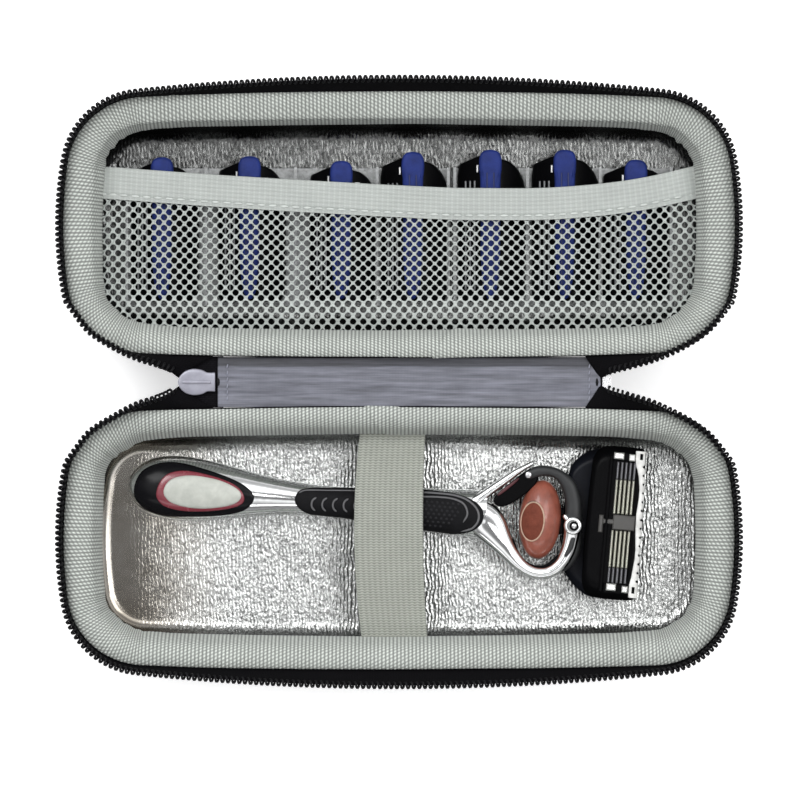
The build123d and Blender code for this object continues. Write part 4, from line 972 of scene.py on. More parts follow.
def make_hem(name, ends):
    """Folded and ribbed hem of the pocket on one side of the middle."""
    x = np.linspace(*ends, 200)
    top = hem_top(x)
    slant = np.gradient(top, x)
    border = pocket_border()
    profile = []
    for share in np.linspace(0, 1, 44):
        rib = 0.09 * np.cos(share * HEM_WIDE * 2 * pi / 1.15)
        fold = 0.28 * np.exp(-((share - 0.86) / 0.02) ** 2)
        profile.append((share * HEM_WIDE, 0.55 + rib - fold - 0.9 * (share < 0.02)))
    profile += [(HEM_WIDE, -0.35), (HEM_WIDE * 0.5, -0.45), (0.1, -0.35), (0.0, 0.1)]
    profile = np.array(profile + profile[:1])
    rows = []
    base = pocket_height(np.column_stack([x, top - HEM_WIDE / 2]), border)
    for across, lift in profile:
        rows.append(np.column_stack([x + slant * across * 0.6, top - across, base + lift]))
    points = np.stack(rows)
    points[..., 2] += 0.05 * grain(points[..., :2], (3.0, 1.2), 91)
    hem = grid_piece(f"pocket_hem_{name}", points, False, True,
                     np.arange(len(profile)) * HEM_WIDE / 44, x)
    stand_for(hem, ["pocket_hem"], "hem")
    pitch, = sizes_mm("stitch_pitch")
    line, _ = even_path(np.column_stack([x, top - HEM_WIDE + 1.25, base + 0.72]), pitch)
    tangent, aside, up = path_frames(line)
    stitches = beads(f"hem_stitches_{name}", line, (1.1, 0.35, 0.26), tangent, aside, up)
    stand_for(stitches, [], "thread")
    return [hem, stitches]


def make_pocket():
    """Mesh pocket with its hem, each piece's transform baked into its mesh."""
    hems = {"left": make_hem("left", (-86.5, 0.0)), "right": make_hem("right", (0.0, 87.5))}
    for name, piece, area in make_mesh():
        if name == "fold_side":
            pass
        else:
            for going_with in hems[name]:
                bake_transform(going_with)
        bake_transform(piece)


# ---- finishes of the case, the razor and the spares ----
def plain_finish(name, base, roughness, bump=0.03, scale=1.4, spread=0.12, **sockets):
    """Moulded plastic or painted metal: uneven patches, a fine grain and slight wear."""
    finish = Finish(name, roughness=roughness, **sockets)
    place = finish.place()
    patch = wear(finish, place, base, spread)
    fine = finish.noise(place, scale * 4, 5.0)
    finish.rough(patch, max(0.05, roughness - 0.06), roughness + 0.10)
    finish.bump((patch, bump), (fine, bump * 0.4))
    return finish.material


def metal_finish(name, base, roughness, scratch=0.006, brush=(1, 1, 1)):
    """Plated or bare metal with fine scratches."""
    finish = Finish(name, metallic=1.0, roughness=roughness)
    place = finish.place(brush)
    patch = wear(finish, place, base, 0.05)
    fine = finish.noise(place, 6.0, 6.0)
    finish.rough(patch, max(0.04, roughness - 0.03), roughness + 0.06)
    finish.bump((fine, scratch))
    return finish.material


def foil_finish(name, base, calm, low, high):
    """Metallised film over an upright weave, with a calm end or none, whose colour carries painted
    shade and reflection: darker in the creases, between the ribs, in wide blotches and to the
    left, brighter up the walls when there is no calm end, and dim and brownish at the calm end.
    """
    finish = Finish(name, metallic=1.0, roughness=0.24)
    place = finish.place()
    tall = finish.place((1.2, 1.0, 1.0) if calm else (1.0, 0.5, 0.8))
    along, _, rise = finish.parts(place)
    crease = finish.noise(tall, 1.05, 4.0, 0.62)
    cell = node(finish.tree, "TexVoronoi", {"Scale": 1.15, "Randomness": 0.85, "Vector": tall},
                feature="SMOOTH_F1").outputs["Distance"]
    wander = finish.math("MULTIPLY", finish.noise(place, 0.22, 3.0), 2.4)
    rib = finish.wave((finish.math("ADD", along, wander), 1.04))
    broad = finish.noise(place, 0.05, 3.0)
    # Painted shade of the emboss: darker in the creases and between the ribs.
    tone = finish.ramp(crease, ((0.34, shade(base, 0.42)), (0.47, shade(base, 0.92)),
                                (0.66, shade(base, 1.2))))
    tone = finish.mix(0.4, tone, finish.ramp(rib, ((0.0, 0.55), (0.6, 1.0))), "MULTIPLY")
    # Painted shade: darker to the left, from low to high along the half.
    share = finish.spread(along, low, high, -90.0, 90.0)
    if not calm:
        # Painted light: the walls are brightened with height.
        share = finish.math("MULTIPLY", share, finish.spread(rise, 1.0, 3.0, 4.5, 12.0))
    tone = finish.mix(1.0, tone, share, "MULTIPLY")
    # Painted reflection: wide darker blotches.
    tone = finish.mix(0.5, tone, finish.ramp(broad, ((0.35, 0.62), (0.65, 1.0))), "MULTIPLY")
    heights = [(cell, -0.16), (crease, 0.15), (rib, 0.10 if calm else 0.05)]
    if calm:
        edge = finish.math("ADD", along, finish.math("MULTIPLY", finish.noise(place, 0.16), 9.0))
        busy = finish.spread(edge, 0.0, 1.0, -73.0, -44.0)
        # Painted reflection: the calm end is dim and brownish.
        film = finish.ramp(broad, ((0.35, (0.29, 0.262, 0.222)), (0.65, (0.43, 0.41, 0.375))))
        tone = finish.mix(busy, film, tone)
        heights = [(finish.math("MULTIPLY", height, busy), depth) for height, depth in heights]
        crease = finish.math("MULTIPLY_ADD", crease, busy, finish.math("SUBTRACT", 1.0, busy))
    finish.colour(tone)
    finish.rough(crease, 0.30, 0.16)
    finish.bump(*heights)
    return finish.material


def foam_finish(name, base):
    """Closed-cell foam with tiny pores."""
    finish = Finish(name, roughness=0.9)
    place = finish.place()
    cell = node(finish.tree, "TexVoronoi", {"Scale": 2.2, "Vector": place})
    wear(finish, place, base, 0.2)
    finish.bump((cell.outputs["Distance"], 0.08))
    return finish.material


def rubber_finish(name, base, pattern=0.6):
    """Soft grip rubber with a fine pattern of dots."""
    finish = Finish(name, roughness=0.62, specular_ior_level=0.07)
    place = finish.place()
    dot = node(finish.tree, "TexVoronoi", {"Scale": 1.3, "Randomness": 0.15, "Vector": place})
    patch = wear(finish, place, base, 0.2)
    finish.rough(patch, 0.5, 0.72)
    finish.bump((dot.outputs["Distance"], 0.10 * pattern), (finish.noise(place, 7.0), 0.02))
    return finish.material


def clear_finish(name, base):
    """Clear thin tray plastic with creases that catch the light."""
    finish = Finish(name, roughness=0.16, ior=1.49, transmission_weight=0.55, alpha=0.75)
    place = finish.place()
    crease = finish.noise(place, 0.8, 5.0, 0.7)
    # Painted light and shade: the tint is made lighter and darker with the creases.
    finish.colour(finish.ramp(crease, ((0.35, shade(base, 0.7)), (0.6, shade(base, 1.05)))))
    finish.rough(crease, 0.08, 0.3)
    finish.bump((crease, 0.12))
    return finish.material


def bead_finish(name, base, pitch, bead, dark, light, height=0.16, part=0.65):
    """Ribbed tape: slanted beads of yarn along each rib, half a bead apart on its neighbour."""
    finish = Finish(name, roughness=0.85, sheen_weight=0.12, sheen_roughness=0.6,
                    specular_ior_level=0.2)
    woven = finish.place(woven=True)
    along, across, _ = finish.parts(woven)
    rib = finish.wave((along, pitch))
    yarn = finish.wave((across, bead), (along, 2 * pitch))
    value = finish.math("MULTIPLY", rib, finish.math("MULTIPLY_ADD", yarn, part, 1 - part))
    fuzz = finish.noise(woven, 1.6, 4.0)
    patch = finish.noise(woven, 0.11, 3.0)
    value = finish.math("ADD", value, finish.math("MULTIPLY_ADD", fuzz, 0.3, -0.15))
    tone = finish.ramp(value, ((0.0, shade(base, dark)), (0.35, shade(base, 0.82)),
                               (0.95, shade(base, light))))
    finish.colour(finish.patches(tone, patch, 0.35, 0.7))
    finish.bump((value, height))
    return finish.material


def knit_finish(name, base):
    """Elastic knit: fine zigzag rows crossed by upright columns."""
    finish = Finish(name, roughness=0.9, sheen_weight=0.12, sheen_roughness=0.6,
                    specular_ior_level=0.2)
    woven = finish.place(woven=True)
    along, across, _ = finish.parts(woven)
    zig = finish.math("PINGPONG", along, 0.78)
    row = finish.wave((across, 0.74), (zig, 1.9))
    column = finish.wave((along, 1.56))
    fuzz = finish.noise(woven, 2.2, 3.0)
    value = finish.math("MULTIPLY_ADD", column, 0.22, finish.math("MULTIPLY", row, 0.72))
    value = finish.math("ADD", value, finish.math("MULTIPLY_ADD", fuzz, 0.3, -0.15))
    patch = finish.noise(woven, 0.16, 3.0)
    tone = finish.ramp(value, ((0.0, shade(base, 0.50)), (0.4, shade(base, 0.92)),
                               (0.9, shade(base, 1.18))))
    finish.colour(finish.patches(tone, patch, 0.3, 0.75))
    finish.bump((value, 0.14))
    return finish.material


def make_finishes():
    """All finishes, by the names that the pieces use."""
    colours = bpy.context.scene.case_colours
    pitch, = sizes_mm("rib_pitch")
    FINISHES.update({
        "cover": woven_finish("Black woven cover", colours.cover, 1.1, 0.55, dark=0.45,
                              mortar=0.09, height=0.10),
        "shell": woven_finish("Black ballistic cover", shade(colours.cover, 1.9), 1.5, 0.8,
                              dark=0.30, mortar=0.14, height=0.18, sheen=0.03),
        "tape": woven_finish("Black zip tape", shade(colours.cover, 0.55), 0.9, 0.6, dark=0.4,
                             mortar=0.1, height=0.06, roughness=0.9),
        "binding": bead_finish("Ribbed grey binding", colours.binding, pitch, 0.92, dark=0.38,
                               light=1.36, part=0.80),
        "strap": knit_finish("Elastic strap yarn", colours.strap),
        "hem": bead_finish("Hem yarn", shade(colours.hem, 1.08), 1.5, 0.46, dark=0.86,
                           light=1.05, height=0.035),
        "mesh": bead_finish("Mesh yarn", colours.pocket, 0.9, 0.55, dark=0.6, light=1.1,
                            height=0.05),
        "thread": plain_finish("Pale sewing thread", shade(colours.hem, 1.2), 0.7, 0.02),
        "nylon_thread": plain_finish("Grey sewing thread", shade(colours.panel, 1.5), 0.7,
                                     0.02),
        "nylon": nylon_finish("Spine panel nylon", colours.panel),
        # Both liners are the same foil; the upper liner's far darker copy is painted shade.
        "lower_foil": foil_finish("Embossed foil", colours.foil, True, 0.95, 1.0),
        "upper_foil": foil_finish("Shaded embossed foil", colours.foil, False, 0.19, 0.31),
        "foam": foam_finish("Moulded foam", (0.03, 0.03, 0.032)),
        "coil": plain_finish("Black zip coil", (0.005, 0.005, 0.006), 0.42, 0.01,
                             specular_ior_level=0.15),
        "slider": plain_finish("Painted slider metal", colours.slider, 0.34, 0.01,
                               metallic=0.3),
        "chrome": metal_finish("Plated chrome", colours.chrome, 0.07),
        "steel": metal_finish("Pin steel", (0.55, 0.55, 0.56), 0.25),
        "blade": metal_finish("Blade steel", (0.42, 0.42, 0.36), 0.3, 0.01, (3, 0.2, 3)),
        "clip": metal_finish("Retaining clip metal", (0.80, 0.80, 0.78), 0.32),
        "grip": rubber_finish("Black grip rubber", (0.008, 0.008, 0.009)),
        "groove": plain_finish("Grey grip line", (0.10, 0.10, 0.105), 0.5, 0.01),
        "groove_dark": plain_finish("Dark grip dots", (0.018, 0.018, 0.02), 0.6, 0.01,
                                    specular_ior_level=0.1),
        "maroon": plain_finish("Maroon arm inlay", shade(colours.ring, 0.35), 0.4, 0.01),
        "wing": plain_finish("Bracket plastic", (0.006, 0.007, 0.011), 0.34, 0.015,
                             specular_ior_level=0.12),
        "bridge": plain_finish("Grey bridge plastic", (0.055, 0.053, 0.05), 0.45, 0.015),
        # The same blade steel made darker: painted shade at the blade ends.
        "blade_end": metal_finish("Dark blade ends", (0.16, 0.16, 0.17), 0.3, 0.01, (3, 0.2, 3)),
        "strip": metal_finish("Spare blade strips", (0.17, 0.175, 0.18), 0.42, 0.01, (3, 0.2, 3)),
        # A darker copy of the bar's blue: painted shade in its grooves.
        "bar_dark": plain_finish("Painted shade of the blue bar grooves", shade(colours.bar, 0.6), 0.5, 0.02),
        "rim": plain_finish("Pale button rim", (0.43, 0.29, 0.21), 0.4, 0.01),
        "guard": plain_finish("Dark guard plastic", (0.024, 0.025, 0.026), 0.42, 0.03,
                              specular_ior_level=0.3),
        "frame": plain_finish("Black cartridge plastic", (0.0016, 0.0016, 0.002), 0.36, 0.015,
                              specular_ior_level=0.05),
        "cap": plain_finish("Glossy black cap", (0.004, 0.004, 0.005), 0.2, 0.004,
                            specular_ior_level=0.12),
        "ring": plain_finish("Dark red ring", colours.ring, 0.24, 0.01, coat_weight=0.3),
        "inlay": plain_finish("Pale inlay", colours.inlay, 0.34, 0.01),
        "ball": plain_finish("Orange pivot ball", colours.ball, 0.34, 0.02, spread=0.22,
                             coat_weight=0.3),
        "button": rubber_finish("Orange push button", shade(colours.ball, 0.62), 0.9),
        "bar": plain_finish("Blue lubricating bar", colours.bar, 0.5, 0.05, 0.8, 0.22,
                            specular_ior_level=0.15),
        "comb": rubber_finish("White comb rubber", (0.70, 0.70, 0.68), 0.3),
        "tray": clear_finish("Clear tray", (0.80, 0.82, 0.82)),
    })


# ---- zip slider ----
SLIDER_NOSE = -61.9
# Half width of the slider's plates, with the distance from its nose.
SLIDER_HALF = ((0.0, 0.3), (0.5, 1.6), (1.8, 2.9), (3.6, 3.6), (5.4, 3.65), (7.0, 3.3),
               (7.9, 2.8), (8.6, 2.65), (10.4, 2.65))


def make_slider():
    """Slider with two plates and a bail, its pull, and the bottom stop."""
    for name, level, thick in (("slider_top_plate", 23.15, 0.62),
                               ("slider_bottom_plate", 18.0, 0.5)):
        keys = [(SLIDER_NOSE + along, 0, level, wide, thick * (0.8 if along < 0.2 else 1.0))
                for along, wide in SLIDER_HALF]
        stand_for(swept(name, keys, 28, 60, 0.5, np.asarray, False), ["zip_slider"], "slider",
                  "zip_slider")
    keys = ((-61.0, 0, 23.35, 0.5, 0.35), (-60.0, 0, 23.75, 0.5, 0.38),
            (-57.0, 0, 23.85, 0.5, 0.40), (-53.4, 0, 23.75, 0.5, 0.38),
            (-52.4, 0, 23.35, 0.5, 0.35))
    for piece in (slab("slider_neck", disc((-58.4, 0.0), 1.5, 0.85), 18.3, 22.8, edge=0.2),
                  swept("slider_bail", keys, convert=np.asarray)):
        stand_for(piece, ["zip_slider"], "slider", "zip_slider")
    for name, finish in (("zip_pull", "slider"), ("zip_stop", "steel")):
        dress(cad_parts[name], finish)


# ---- razor ----
def razor_point(u, v, rise=0.0):
    """A point beside the razor's axis: along it, across it, and above it."""
    return (u * cos(RAZOR_TURN) - v * sin(RAZOR_TURN),
            RAZOR_Y + u * sin(RAZOR_TURN) + v * cos(RAZOR_TURN), AXIS_Z + rise)


def razor_points(points):
    """Many such points, as an array of along, across and rise."""
    points = np.asarray(points, float)
    return np.stack(razor_point(points[..., 0], points[..., 1], points[..., 2]), -1)


def surface_under(name):
    """A search tree of a CAD node's surface."""
    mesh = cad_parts[name].data
    return BVHTree.FromPolygons([v.co for v in mesh.vertices],
                                [list(p.vertices) for p in mesh.polygons])


def top_of(tree, u, v):
    """Height of a surface above the razor's axis, or None beside it."""
    x, y, _ = razor_point(u, v)
    hit = tree.ray_cast(Vector((x, y, 60.0)) * MM, Vector((0, 0, -1)))[0]
    return None if hit is None else hit.z / MM - AXIS_Z


def skin(name, outline, tree, proud, edge, crown, smaller):
    """A thin cap that follows the surface under it, with a rounded edge."""
    count, rings = 96, 14
    plan = rounded_plan(outline, count, 3)
    middle = plan.mean(0)
    reach = np.linalg.norm(plan - middle, axis=1, keepdims=True)
    plan = middle + (plan - middle) * (1 - smaller / reach)
    fitted = []
    for u, v in plan:
        share = 1.0
        while top_of(tree, *(middle + (np.array((u, v)) - middle) * share)) is None:
            share -= 0.02
        fitted.append(middle + (np.array((u, v)) - middle) * (share if share == 1 else
                                                              share - 0.01))
    plan = np.array(fitted)
    reach = np.linalg.norm(plan - middle, axis=1)
    rows = []
    for ring in range(rings + 1):
        turn = min(ring, 4) / 4 * pi / 2
        share = 1 - edge * (1 - cos(turn)) / reach
        share *= 1 - max(ring - 4, 0) / (rings - 4) * 0.98
        lift = proud * sin(turn) - (0.35 if ring == 0 else 0.0)
        row = []
        for (u, v), part in zip(plan, share):
            place = middle + (np.array((u, v)) - middle) * part
            under = top_of(tree, *place)
            rise = (0.8 if under is None else under) + lift + crown * (1 - part**2)
            row.append((place[0], place[1], rise))
        rows.append(row)
    return make_piece(name, razor_points(np.array(rows)), ring_faces(len(rows), count, head=1))


def swept(name, keys, sides=20, steps=60, power=0.72, convert=razor_points, caps=True):
    """A rounded arm along a path of along, across, rise, half width and half height."""
    path = smooth_path(keys, steps)
    flat = unit(np.gradient(path[:, :2], axis=0))
    aside = np.stack([-flat[:, 1], flat[:, 0]], -1)
    turn = np.arange(sides) * 2 * pi / sides
    wide = np.sign(np.cos(turn)) * np.abs(np.cos(turn)) ** power
    tall = np.sign(np.sin(turn)) * np.abs(np.sin(turn)) ** power
    rings = [(row, side_way, 1.0, np.zeros(2)) for row, side_way in zip(path, aside)]
    ends = []
    for index, sign in ((0, -1), (-1, 1)):
        row, side_way = path[index], aside[index]
        ahead = flat[index] * sign
        ends.append([(row, side_way, cos(angle), ahead * row[3] * sin(angle) * 0.9)
                     for angle in (0.5, 0.9, 1.2, 1.4)] if caps else [])
    rings = ends[0][::-1] + rings + ends[1]
    points = []
    for row, side_way, shrink, ahead in rings:
        height = row[4] * (0.45 + 0.55 * shrink) if shrink < 1 else row[4]
        place = row[:2] + ahead
        points.append(np.column_stack([
            place[0] + side_way[0] * wide * row[3] * shrink,
            place[1] + side_way[1] * wide * row[3] * shrink,
            row[2] + tall * height]))
    return make_piece(name, convert(np.array(points)), ring_faces(len(points), sides, 1, -1))


def razor_slab(name, plan, foot, head, **settings):
    """A slab whose plan and heights are measured from the razor's axis."""
    turned = [razor_point(u, v)[:2] for u, v in plan]
    return slab(name, turned, AXIS_Z + foot, AXIS_Z + head, **settings)


def disc(middle, radius, stretch=1.0):
    """A round or oval plan."""
    return [(middle[0] + radius * cos(k * 2 * pi / 40),
             middle[1] + radius * stretch * sin(k * 2 * pi / 40)) for k in range(40)]


def bars(name, boxes, bevel=0.12, convert=razor_points):
    """Many small bars with bevelled tops, as low and high corners."""
    points, faces = [], []
    for low, high in boxes:
        (x0, y0, z0), (x1, y1, z1) = low, high
        base = len(points)
        for inset, height in ((0, z0), (0, z1 - bevel), (bevel, z1)):
            points += [(x0 + inset, y0 + inset, height), (x1 - inset, y0 + inset, height),
                       (x1 - inset, y1 - inset, height), (x0 + inset, y1 - inset, height)]
        for level in range(2):
            for k in range(4):
                a, b = base + level * 4 + k, base + level * 4 + (k + 1) % 4
                faces.append([a, b, b + 4, a + 4])
        faces.append([base + k for k in (3, 2, 1, 0)])
        faces.append([base + 8 + k for k in range(4)])
    return make_piece(name, convert(np.array(points)), faces, smooth=False)


def ridge(name, line, radius, tree, lift):
    """A thin raised line over a surface, slimmer at its ends."""
    path = smooth_path(line, 40)
    solid = [(u, v, (top_of(tree, u, v) or 0.8) + lift) for u, v in path]
    path = razor_points(solid)
    _, aside, up = path_frames(path)
    swell = np.full((len(path), 1), radius)
    swell[:3, 0] *= (0.25, 0.6, 0.85)
    swell[-3:, 0] *= (0.85, 0.6, 0.25)
    return tube_piece(name, path, aside * swell, up * swell, 8)


# Plans of the handle's cap, ring, inlay and grips: along the razor's axis and across it.
CAP = ((-75.3, -1.4), (-74.6, 2.2), (-72.8, 4.9), (-68.7, 7.1), (-63.6, 7.8), (-58.0, 7.1),
       (-50.8, 5.4), (-44.0, 3.1), (-40.3, 0.2), (-40.6, -2.4), (-43.3, -5.2), (-49.7, -7.0),
       (-59.0, -8.2), (-66.4, -8.6), (-72.2, -6.8), (-74.8, -4.0))
RING = ((-68.7, -1.8), (-67.4, 2.5), (-64.8, 4.6), (-60.2, 5.5), (-52.6, 4.5), (-45.9, 2.5),
        (-43.2, -0.5), (-43.7, -3.2), (-49.9, -5.3), (-59.1, -6.5), (-65.3, -5.8), (-67.8, -4.1))
INLAY = ((-66.7, -0.7), (-65.5, 2.0), (-62.8, 3.6), (-57.7, 4.4), (-50.6, 3.6), (-45.2, 1.4),
         (-43.9, -0.8), (-45.6, -3.1), (-51.7, -4.9), (-57.8, -5.5), (-64.0, -4.5), (-66.1, -2.7))
REAR_GRIP = ((-29.7, 0.1), (-28.6, 2.6), (-25.5, 3.4), (-20.0, 3.9), (-13.2, 4.5), (-5.0, 4.9),
             (2.9, 5.3), (2.9, -5.9), (-5.0, -5.7), (-12.4, -5.4), (-21.8, -5.0), (-26.6, -3.8),
             (-29.0, -2.0))
FRONT_GRIP = ((3.3, 5.6), (9.0, 5.7), (14.0, 5.6), (19.1, 4.7), (23.0, 2.6), (24.2, -0.1),
              (23.5, -3.3), (20.1, -5.7), (14.1, -6.6), (8.0, -6.6), (3.3, -6.4))
# Arms and ring of the fork: along, across, rise, half width and half height.
LOWER_ARM = (
    (19.0, 0.4, 0.2, 4.6, 3.6), (23.4, -1.0, 0.9, 5.1, 3.5), (26.1, -3.2, 1.4, 4.9, 3.2),
    (29.7, -7.4, 1.8, 3.3, 2.8), (32.5, -10.5, 1.8, 2.4, 2.6), (35.8, -13.4, 1.8, 1.9, 2.6),
    (39.6, -15.0, 1.8, 1.8, 2.6), (43.6, -14.5, 1.8, 1.8, 2.6), (46.7, -11.9, 1.8, 1.9, 2.6),
    (48.4, -8.2, 1.8, 2.1, 2.6), (49.0, -4.8, 1.9, 2.2, 2.7), (49.1, -1.6, 2.2, 2.4, 2.9))
UPPER_ARM = (
    (19.6, 2.2, 0.6, 2.2, 3.2), (22.4, 4.5, 1.4, 1.6, 3.0), (24.6, 6.5, 1.8, 1.3, 2.7),
    (29.4, 10.5, 1.9, 1.15, 2.6), (32.9, 13.4, 1.9, 0.9, 2.6), (36.4, 15.7, 1.7, 0.65, 2.2))
GUARD = (
    (35.6, 12.2, 1.2, 1.5, 2.0), (38.6, 13.6, 1.3, 1.55, 2.1), (42.0, 13.7, 1.3, 1.4, 2.1),
    (44.9, 12.5, 1.3, 1.6, 2.1), (47.2, 10.0, 1.4, 2.1, 2.2), (48.6, 6.2, 1.4, 2.2, 2.2),
    (49.1, 2.1, 1.4, 2.3, 2.2), (49.9, -2.9, 1.0, 2.0, 1.9), (50.0, -7.5, 0.9, 1.9, 1.7),
    (48.4, -11.6, 0.8, 1.6, 1.6), (45.6, -14.2, 0.8, 1.0, 1.5))


def make_handle():
    """Chrome handle with its cap, ring, inlay and grips."""
    dress(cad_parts["razor_handle"], "chrome")
    tree = surface_under("razor_handle")
    for name, outline, proud, edge, crown, node_name, finish, slot in (
            ("handle_cap_shell", CAP, 0.35, 0.9, 0.0, "handle_cap", "cap", "razor_black"),
            ("cap_ring_band", RING, 0.55, 0.5, 0.0, "cap_ring", "ring", "razor_red"),
            ("cap_inlay_dome", INLAY, 0.75, 0.7, 0.25, "cap_inlay", "inlay", "razor_white"),
            ("rear_grip_pad", REAR_GRIP, 0.55, 0.9, 0.0, "rear_grip", "grip", "razor_rubber"),
            ("front_grip_pad", FRONT_GRIP, 0.55, 1.1, 0.0, "front_grip", "grip",
             "razor_rubber")):
        pad = skin(name, outline, tree, proud, edge, crown, 0.3 if finish == "cap" else 0.0)
        stand_for(pad, [node_name], finish, "razor")
    for number, u in enumerate((-24.4, -21.4, -18.4, -15.4, -12.4, -9.4)):
        v = -1.05 + number * 0.14
        line = [(u + 1.0, v + 1.9), (u + 0.1, v + 1.1), (u - 0.2, v), (u + 0.1, v - 1.1),
                (u + 1.0, v - 1.9)]
        stand_for(ridge(f"rear_grip_ridge_{number + 1}", line, 0.27, tree, 0.6), [], "groove",
                  "razor")
    for name, radius, lift, line in (
            ("front_grip_line", 0.30, 0.5, ((3.6, 3.3), (6.4, 3.6), (11.2, 3.9), (15.2, 3.7),
                                            (18.1, 2.5), (19.3, -0.1), (18.3, -2.6))),
            ("front_grip_edge", 0.42, 0.25, ((3.6, 4.6), (9.0, 4.8), (15.2, 4.7), (19.3, 3.5),
                                             (22.0, 1.2), (22.5, -1.6), (20.9, -4.0),
                                             (17.4, -5.3)))):
        stand_for(ridge(name, line, radius, tree, lift), [], "groove", "razor")
    places = []
    for row in range(7):
        for step in range(9):
            u, v = 4.6 + step * 1.5 + 0.75 * (row % 2), 2.4 - row * 1.1
            if u < 17.4 - 0.12 * row * row:
                places.append(razor_point(u, v, (top_of(tree, u, v) or 0) + 0.52))
    stand_for(beads("front_grip_dots", places, (0.42, 0.42, 0.2)), [], "groove_dark",
              "razor")
    line = [(-28.4, 1.7), (-26.4, 2.6), (-20.0, 3.1), (-13.2, 3.6), (-5.0, 4.0), (2.4, 4.3)]
    stand_for(ridge("rear_grip_edge", line, 0.22, tree, 0.5), [], "groove",
              "razor")


def make_fork():
    """Forked end of the handle, its dark guard ring and pins."""
    for piece in (swept("fork_lower_arm", LOWER_ARM, steps=90),
                  swept("fork_upper_arm", UPPER_ARM),
                  razor_slab("fork_eyelet", disc((49.2, -0.9), 2.6), -0.6, 5.2, edge=0.7,
                             crown=0.1),
                  swept("fork_lug", ((48.6, -0.4, 3.2, 0.9, 1.4), (46.8, 1.5, 3.1, 0.75, 1.2)),
                        steps=8)):
        stand_for(piece, ["razor_fork"], "chrome", "razor")
    ring = swept("guard_ring_arc", GUARD, steps=80)
    stand_for(ring, ["ring_guard"], "guard", "razor")
    lip = swept("guard_inner_lip", ((32.6, -6.4, 1.6, 0.5, 1.6), (35.0, -10.9, 1.7, 0.5, 1.7),
                                    (38.9, -13.2, 1.7, 0.45, 1.7), (42.8, -12.7, 1.7, 0.45, 1.7),
                                    (45.8, -9.8, 1.6, 0.45, 1.6)))
    under = razor_slab("upper_arm_back", rounded_plan(
        ((25.2, 4.2), (29.2, 1.9), (36.2, 7.6), (38.4, 10.6), (38.4, 14.4), (36.0, 14.6),
         (30.2, 9.2)), 48, 2), -0.8, 2.7, edge=0.5)
    for piece in (lip, under):
        stand_for(piece, ["ring_guard"], "frame", "razor")
    red = razor_slab("upper_arm_inlay", rounded_plan(
        ((27.0, 6.0), (27.6, 5.5), (30.4, 8.0), (33.2, 10.9), (32.9, 11.5), (29.8, 8.8)), 40, 2),
        2.0, 3.1, edge=0.3)
    stand_for(red, [], "maroon", "razor")
    slot = swept("lower_arm_slot", ((49.5, -4.5, 3.9, 0.75, 0.85), (48.9, -7.2, 3.8, 0.85, 0.85),
                                    (47.9, -9.4, 3.7, 0.7, 0.8)), steps=16)
    stand_for(slot, [], "guard", "razor")
    pins = razor_slab("fork_pin_rim", disc((49.5, -0.9), 1.35), 4.4, 5.4, edge=0.2)
    stand_for(pins, [], "frame", "razor")
    for name, place, radius, head in (("eyelet_pin", (49.5, -0.9), 0.8, 5.65),
                                      ("arm_pin", (35.5, 12.3), 0.95, 4.1)):
        stand_for(razor_slab(name, disc(place, radius), head - 2.0, head, edge=0.3, crown=0.12),
                  ["fork_pins"], "steel", "razor")


BALL = (39.9, 0.5, 5.9, 11.2)                # middle along, its rise, radius, half length
BUTTON = (37.75, -0.65, 3.15, 5.4)           # middle along and across, and both half sizes


def ball_rise(u, v):
    """Height of the ball above the razor's axis."""
    middle, rise, radius, reach = BALL
    return rise + radius * np.sqrt(np.maximum(1 - ((u - middle) / radius) ** 2
                                              - (v / reach) ** 2, 0.0))


def make_ball():
    """Pivot ball with its push button, and the bracket below it."""
    dress(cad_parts["pivot_ball"], "ball")
    dress(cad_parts["head_rod"], "steel")
    along, across, half_u, half_v = BUTTON
    turn = np.arange(72) * 2 * pi / 72
    rows = []
    for share, lift in ((1.0, -0.3), (1.0, 0.06), (0.94, 0.12), *((part, 0.14) for part in
                        np.linspace(0.86, 0.02, 12))):
        u = along + half_u * share * np.cos(turn)
        v = across + half_v * share * np.sin(turn)
        rows.append(np.column_stack([u, v, ball_rise(u, v) + lift]))
    patch = grid_piece("push_button", razor_points(np.stack(rows)), True)
    stand_for(patch, ["ball_button"], "button", "ball_button")
    u, v = along + (half_u + 0.05) * np.cos(turn), across + (half_v + 0.05) * np.sin(turn)
    path = razor_points(np.column_stack([u, v, ball_rise(u, v) + 0.06]))
    path = np.vstack([path, path[:1]])
    _, aside, up = path_frames(path)
    rim = tube_piece("button_rim", path, aside * 0.24, up * 0.22, 8)
    stand_for(rim, [], "rim", "ball_button")
    wing = razor_slab("bracket_wing", rounded_plan(
        ((47.6, 13.8), (49.2, 17.2), (52.6, 19.9), (56.0, 21.0), (57.5, 21.0), (57.5, -19.8),
         (55.2, -19.8), (50.8, -16.6), (47.8, -12.4), (47.2, 0.0)), 96, 2), -4.4, -2.5, edge=0.8)
    seat = razor_slab("bracket_seat", rounded_plan(
        ((34.8, 3.4), (34.8, -3.4), (38.0, -5.0), (49.5, -3.4), (49.5, 3.4), (38.0, 5.0)), 64, 2),
        -4.4, -2.6, edge=0.5)
    for piece in (wing, seat):
        stand_for(piece, ["head_bracket"], "wing", "razor_ball")


